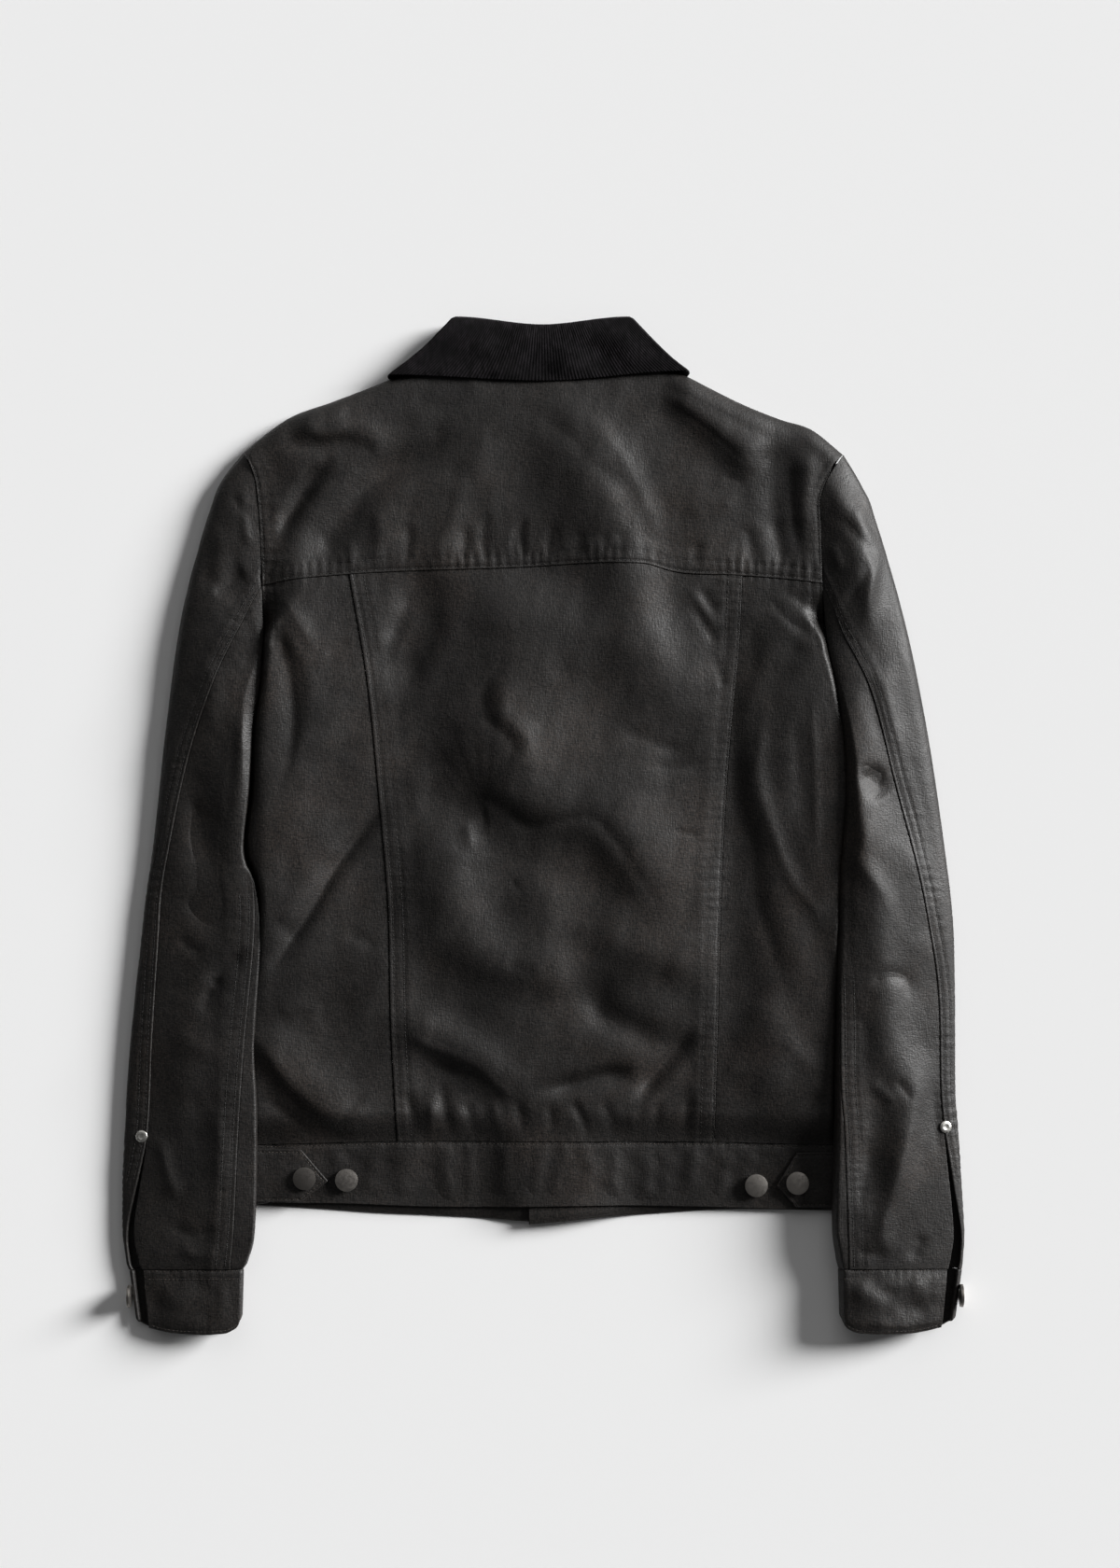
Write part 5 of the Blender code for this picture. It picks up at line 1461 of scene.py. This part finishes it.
for sl in (sleeveLeft, sleeveRight):
    for d in sleeveSeams["back"]:
        keep = (sl["topAt"] > 0.15) & (sl["topSt"]["vent"] < 2.5)
        rowOnPiece(sl["topGrid"], sl["topNormals"], sl["fromBack"], d, keep)
    for d in sleeveSeams["under"]:
        keep = sl["underSt"]["underSeam"] < 0.97
        rowOnPiece(sl["underGrid"], sl["underNormals"], sl["fromUnder"], d, keep)
    above = sl["cuffGrid"][len(sl["cuffGrid"]) // 2, :, 2] > 9.5
    cuffRows = [(sl["cuffTop"], d) for d in cuff["stitchTop"]] + [(sl["cuffLow"], cuff["stitchLow"])]
    for rows, d in cuffRows:
        rowOnPiece(
            sl["cuffGrid"].transpose(1, 0, 2), sl["cuffNormals"].transpose(1, 0, 2), rows.T, d, above, "worn"
        )


def holeShape(sides=6):    # a needle hole's painted shade: a small dimple coloured near-black
    angles = np.arange(sides) * 2 * np.pi / sides
    points = [(r * np.cos(a), r * np.sin(a), z) for r, z in ((1.0, -0.5), (0.55, 0.12)) for a in angles]
    faces = []
    for i in range(sides):
        j = (i + 1) % sides
        faces += [(i, j, sides + j), (i, sides + j, sides + i)]
    for i in range(1, sides - 1):
        faces += [(sides, sides + i, sides + i + 1), (0, i + 1, i)]
    return np.array(points), np.array(faces)


def sewnMesh(name, lines, material, seed):
    chance = np.random.default_rng(seed)
    shapes = {"stitch": capsule(), "hole": holeShape()}
    made = {"stitch": [], "hole": []}
    for points, normals in lines:
        gone = lengthAlong(points)

        def spot(way, table):
            return np.array([np.interp(way, gone, table[:, k]) for k in range(3)])

        for start in np.arange(1.0, gone[-1] - 3.0, sewing["pitch"]):
            start = start + chance.uniform(-0.12, 0.12)
            mid, up = spot(start + sewing["length"] / 2, points), spot(start + sewing["length"] / 2, normals)
            along = spot(start + sewing["length"], points) - spot(start, points)
            size = np.linalg.norm(along)
            if size < 0.5:
                continue
            along /= size
            across = np.cross(up, along)
            across /= np.linalg.norm(across)
            up = np.cross(along, across)
            across = across + chance.uniform(-0.06, 0.06) * along
            half = sewing["thick"] / 2
            p = shapes["stitch"][0] * [size, half, half]
            made["stitch"].append(p[:, :1] * along + p[:, 1:2] * across + p[:, 2:] * up + mid + up * 0.06)
            # each hole is a dot of painted shade just before its stitch
            p = shapes["hole"][0] * (sewing["hole"] / 2)
            centre = spot(start - (sewing["pitch"] - sewing["length"]) / 2, points)
            made["hole"].append(p[:, :1] * along + p[:, 1:2] * across + p[:, 2:] * up + centre)
    for kind, look in (("stitch", material), ("hole", needleHoleShade)):
        base, faces = shapes[kind]
        allFaces = faces[None] + (np.arange(len(made[kind])) * len(base))[:, None, None]
        piece = makeMesh(name + kind.title(), np.concatenate(made[kind]), allFaces.reshape(-1, 3), look)
        finishPiece(piece, "waxed_cotton")


sewnMesh("dark", sewnLines["dark"], thread, 12)
sewnMesh("worn", sewnLines["worn"], threadWorn, 13)
print("stitches sewn:", len(sewnLines["dark"]) + len(sewnLines["worn"]), "rows")


# buttons and rivets

button = {
    "sides": 40,
    "foot": 3.1,
    "footHeight": 1.2,
    "plate": 8.2,
    "rim": 8.55,
    "insets": (    # width, depth of each ring from the rim in to the post
        (0.55, 0.10), (0.45, -0.25),    # the rolled rim
        (0.45, -0.55), (2.6, -0.15),    # down into the dish
        (0.4, 0.45), (0.45, 0.10), (0.35, -0.60), (0.5, -0.15),    # a small ring round the post
        (0.3, 0.70), (0.6, 0.20), (0.8, -0.50),    # the post's tip and the hole in it
    ),
}
rivet = {
    "sides": 32, "radius": 4.6, "thick": 0.6, "insets": ((0.5, 0.35), (0.9, 0.25), (1.0, 0.10), (0.5, -0.25)),
}


def bareStart():
    bpy.ops.object.select_all(action="DESELECT")


def selectFaces(piece, test):
    bpy.ops.object.mode_set(mode="OBJECT")
    for polygon in piece.data.polygons:
        polygon.select = bool(test(polygon.center, polygon.normal))
    for edge in piece.data.edges:
        edge.select = False
    bpy.ops.object.mode_set(mode="EDIT")
    bpy.ops.mesh.select_mode(type="FACE")


def push(z):    # extrude what is selected, straight up or down
    bpy.ops.mesh.extrude_region_move(TRANSFORM_OT_translate={"value": (0, 0, z * mm)})


def tighten(thickness, depth=0.0):
    bpy.ops.mesh.inset(thickness=thickness * mm, depth=depth * mm, use_even_offset=True)


def disc(sides, radius, height):    # a disc that stands on the table, its upper face selected
    bareStart()
    bpy.ops.mesh.primitive_cylinder_add(
        vertices=sides, radius=radius * mm, depth=height * mm, location=(0, 0, height / 2 * mm)
    )
    piece = bpy.context.object
    bpy.ops.object.transform_apply(location=True, rotation=True, scale=True)
    selectFaces(piece, lambda c, n: n.z > 0.9)
    return piece


def widen(ratio, height):
    bpy.ops.transform.resize(value=(ratio, ratio, 1), center_override=(0, 0, height * mm))


def finishMetal(piece, insets, bevelFrom):    # bevelFrom is the least angle of a rounded edge, in degrees
    for thickness, depth in insets:
        tighten(thickness, depth)
    bpy.ops.object.mode_set(mode="OBJECT")
    bevel = piece.modifiers.new("bevel", "BEVEL")
    bevel.width = 0.12 * mm
    bevel.segments = 2
    bevel.limit_method = "ANGLE"
    bevel.angle_limit = math.radians(bevelFrom)
    bpy.ops.object.modifier_apply(modifier="bevel")
    bpy.ops.object.shade_smooth_by_angle(angle=math.radians(40))
    return piece


def makeButton():
    s = button
    piece = disc(s["sides"], s["foot"], s["footHeight"])
    push(0.05)    # the plate spreads out from the foot
    widen(s["plate"] / s["foot"], s["footHeight"])
    push(0.45)
    widen(s["rim"] / s["plate"], s["footHeight"])
    push(0.55)
    push(0.35)
    widen(0.955, s["footHeight"])
    return finishMetal(piece, s["insets"], 35)


def makeRivet():
    return finishMetal(disc(rivet["sides"], rivet["radius"], rivet["thick"]), rivet["insets"], 30)


rubbed = (    # way out from a button's middle, and how bright the metal is there: rubbed wear and painted highlight on the rim and post
    (0.0, 0.0), (0.8, 0.0), (1.4, 1.2), (2.1, 1.2), (2.4, 0.1), (2.9, 0.0), (3.2, 0.9),
    (3.7, 0.9), (4.1, 0.3), (6.7, 0.3), (7.1, 0.0), (7.6, 0.5), (8.2, 1.0),
)


def rubbedAndHighlightAt(co, wear):
    return wear * float(np.interp(math.hypot(co.x, co.y) / mm, *zip(*rubbed)))


# a copy with its own mesh, stood on the CAD piece's place
def setPiece(master, node, centre, axis, material, turn=0.0, wear=1.0):
    mesh = master.data.copy()
    up = Vector(axis).normalized()
    basis = up.to_track_quat("Z", "Y").to_matrix().to_4x4()
    spin = Matrix.Rotation(turn, 4, "Z")
    mesh.transform(Matrix.Translation(Vector(centre) * mm) @ basis @ spin)
    mesh.materials.clear()
    mesh.materials.append(material)
    worn = mesh.attributes.new("rubbed", "FLOAT", "POINT")
    worn.data.foreach_set("value", [rubbedAndHighlightAt(v.co, wear) for v in master.data.vertices])
    words = node.split("_")
    piece = bpy.data.objects.new(words[0] + "".join(w.title() for w in words[1:]) + "Metal", mesh)
    bpy.context.scene.collection.objects.link(piece)
    return finishPiece(piece, "gunmetal", node)


buttonMaster, rivetMaster = makeButton(), makeRivet()
hardware = {
    "waist": {
        # the third number scales each waist button's bright rings: painted highlight, set button by button
        "button_tab_left": (-178.5, -266.4, 0.4), "button_band_left": (-147, -267.8, 1.2),
        "button_tab_right": (191.6, -269.9, 1.5), "button_band_right": (160.7, -271.8, 0.7),
    },
    "frontX": 3.5,
    "frontYs": (226, 142, 58, -26, -110, -194, -267),
}
for i, (node, (x, y, wear)) in enumerate(hardware["waist"].items()):
    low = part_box(node)[0].z / mm
    setPiece(buttonMaster, node, (x, y, low), (0.02 * (i - 1.5), 0.03, 1), antique, 0.7 * i, wear)
for i, y in enumerate(hardware["frontYs"]):
    node = f"front_button_{i + 1}"
    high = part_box(node)[1].z / mm
    setPiece(buttonMaster, node, (hardware["frontX"], y, high), (0, 0, -1), antique, 0.5 * i)
for sl in (sleeveLeft, sleeveRight):
    last = sl["rows"][-1]
    x = last[0] - sl["side"] * 2.6
    centre = (x + sl["side"] * 0.7, last[1] - 20, 8.6)
    setPiece(buttonMaster, "cuff_button_" + sl["name"], centre, (sl["side"], 0, -0.05), antique)


def rivetPlace(sl, place, reach):
    def at(p, s):
        st = {k: float(v[0]) for k, v in stationsOf(sl, np.array([p])).items()}
        return sleevePoint(sl, st, 0.0, ringShare(s), 0.0, False)

    here = at(place, reach)
    normal = np.cross(at(place + 0.05, reach) - here, at(place, reach + 0.01) - here)
    normal *= np.sign(normal[2])
    normal /= np.linalg.norm(normal)
    return here + normal * 0.1, normal


for sl, place, reach in ((sleeveLeft, 9.05, 0.135), (sleeveRight, 8.97, 0.10)):
    centre, normal = rivetPlace(sl, place, reach)
    setPiece(rivetMaster, "rivet_" + sl["name"], centre, normal, silver)
for master in (buttonMaster, rivetMaster):
    bpy.data.objects.remove(master)
print("metal set")


# table, lights and camera

studio = {
    "floor": 0.90,
    "world": 0.07,
    "keyAngle": 24,    # how soft the main light is, in degrees
    "keyStrength": 7.12,
    "fillStrength": 0.36,
    "fillFrom": (-0.25, 1.2, 0.86),
    "keyFrom": (1.067, 0.497, 0.428),
    "fillAngle": 60,
    "sparklePower": 1.0,
    "sensor": 36,
    "away": 3.0,    # how far off the view's height is measured, in metres
    "viewHeight": 1.176,
    "cameraAt": (0.0133, 0.0298, 3.012),
}


def light(name, kind, place, strength):
    lamp = bpy.data.lights.new(name, kind)
    lamp.energy = strength
    holder = bpy.data.objects.new(name, lamp)
    holder.location = place
    holder.rotation_euler = (-Vector(place)).to_track_quat("-Z", "Y").to_euler()
    bpy.context.scene.collection.objects.link(holder)
    return lamp


floorMaterial, tree, shader = newMaterial("tablePaper")
shader.inputs["Base Color"].default_value = (studio["floor"],) * 3 + (1,)
shader.inputs["Roughness"].default_value = 0.95
shader.inputs["Specular IOR Level"].default_value = 0.1
bareStart()
bpy.ops.mesh.primitive_plane_add(size=6, location=(0, 0, -0.0002))
floor = bpy.context.object
floor.name = "table"
floor.data.materials.append(floorMaterial)
world = bpy.data.worlds.new("studio")
world.use_nodes = True
world.node_tree.nodes["Background"].inputs["Color"].default_value = (1, 1, 1, 1)
world.node_tree.nodes["Background"].inputs["Strength"].default_value = studio["world"]
bpy.context.scene.world = world
light("keyLight", "SUN", studio["keyFrom"], studio["keyStrength"]).angle = math.radians(studio["keyAngle"])
fill = light("fillLight", "SUN", studio["fillFrom"], studio["fillStrength"])
fill.angle = math.radians(studio["fillAngle"])
light("sparkle", "AREA", (0.9, 1.3, 1.9), studio["sparklePower"]).size = 0.6
bpy.context.scene.view_settings.view_transform = "Standard"
camera = bpy.data.cameras.new("camera")
camera.sensor_fit = "VERTICAL"
camera.sensor_height = studio["sensor"]
camera.sensor_width = studio["sensor"] * 1200 / 1680
camera.lens = studio["sensor"] * studio["away"] / studio["viewHeight"]
camera.clip_end = 20
cameraHolder = bpy.data.objects.new("camera", camera)
cameraHolder.location = studio["cameraAt"]
bpy.context.scene.collection.objects.link(cameraHolder)
bpy.context.scene.camera = cameraHolder
print("lights and camera set")
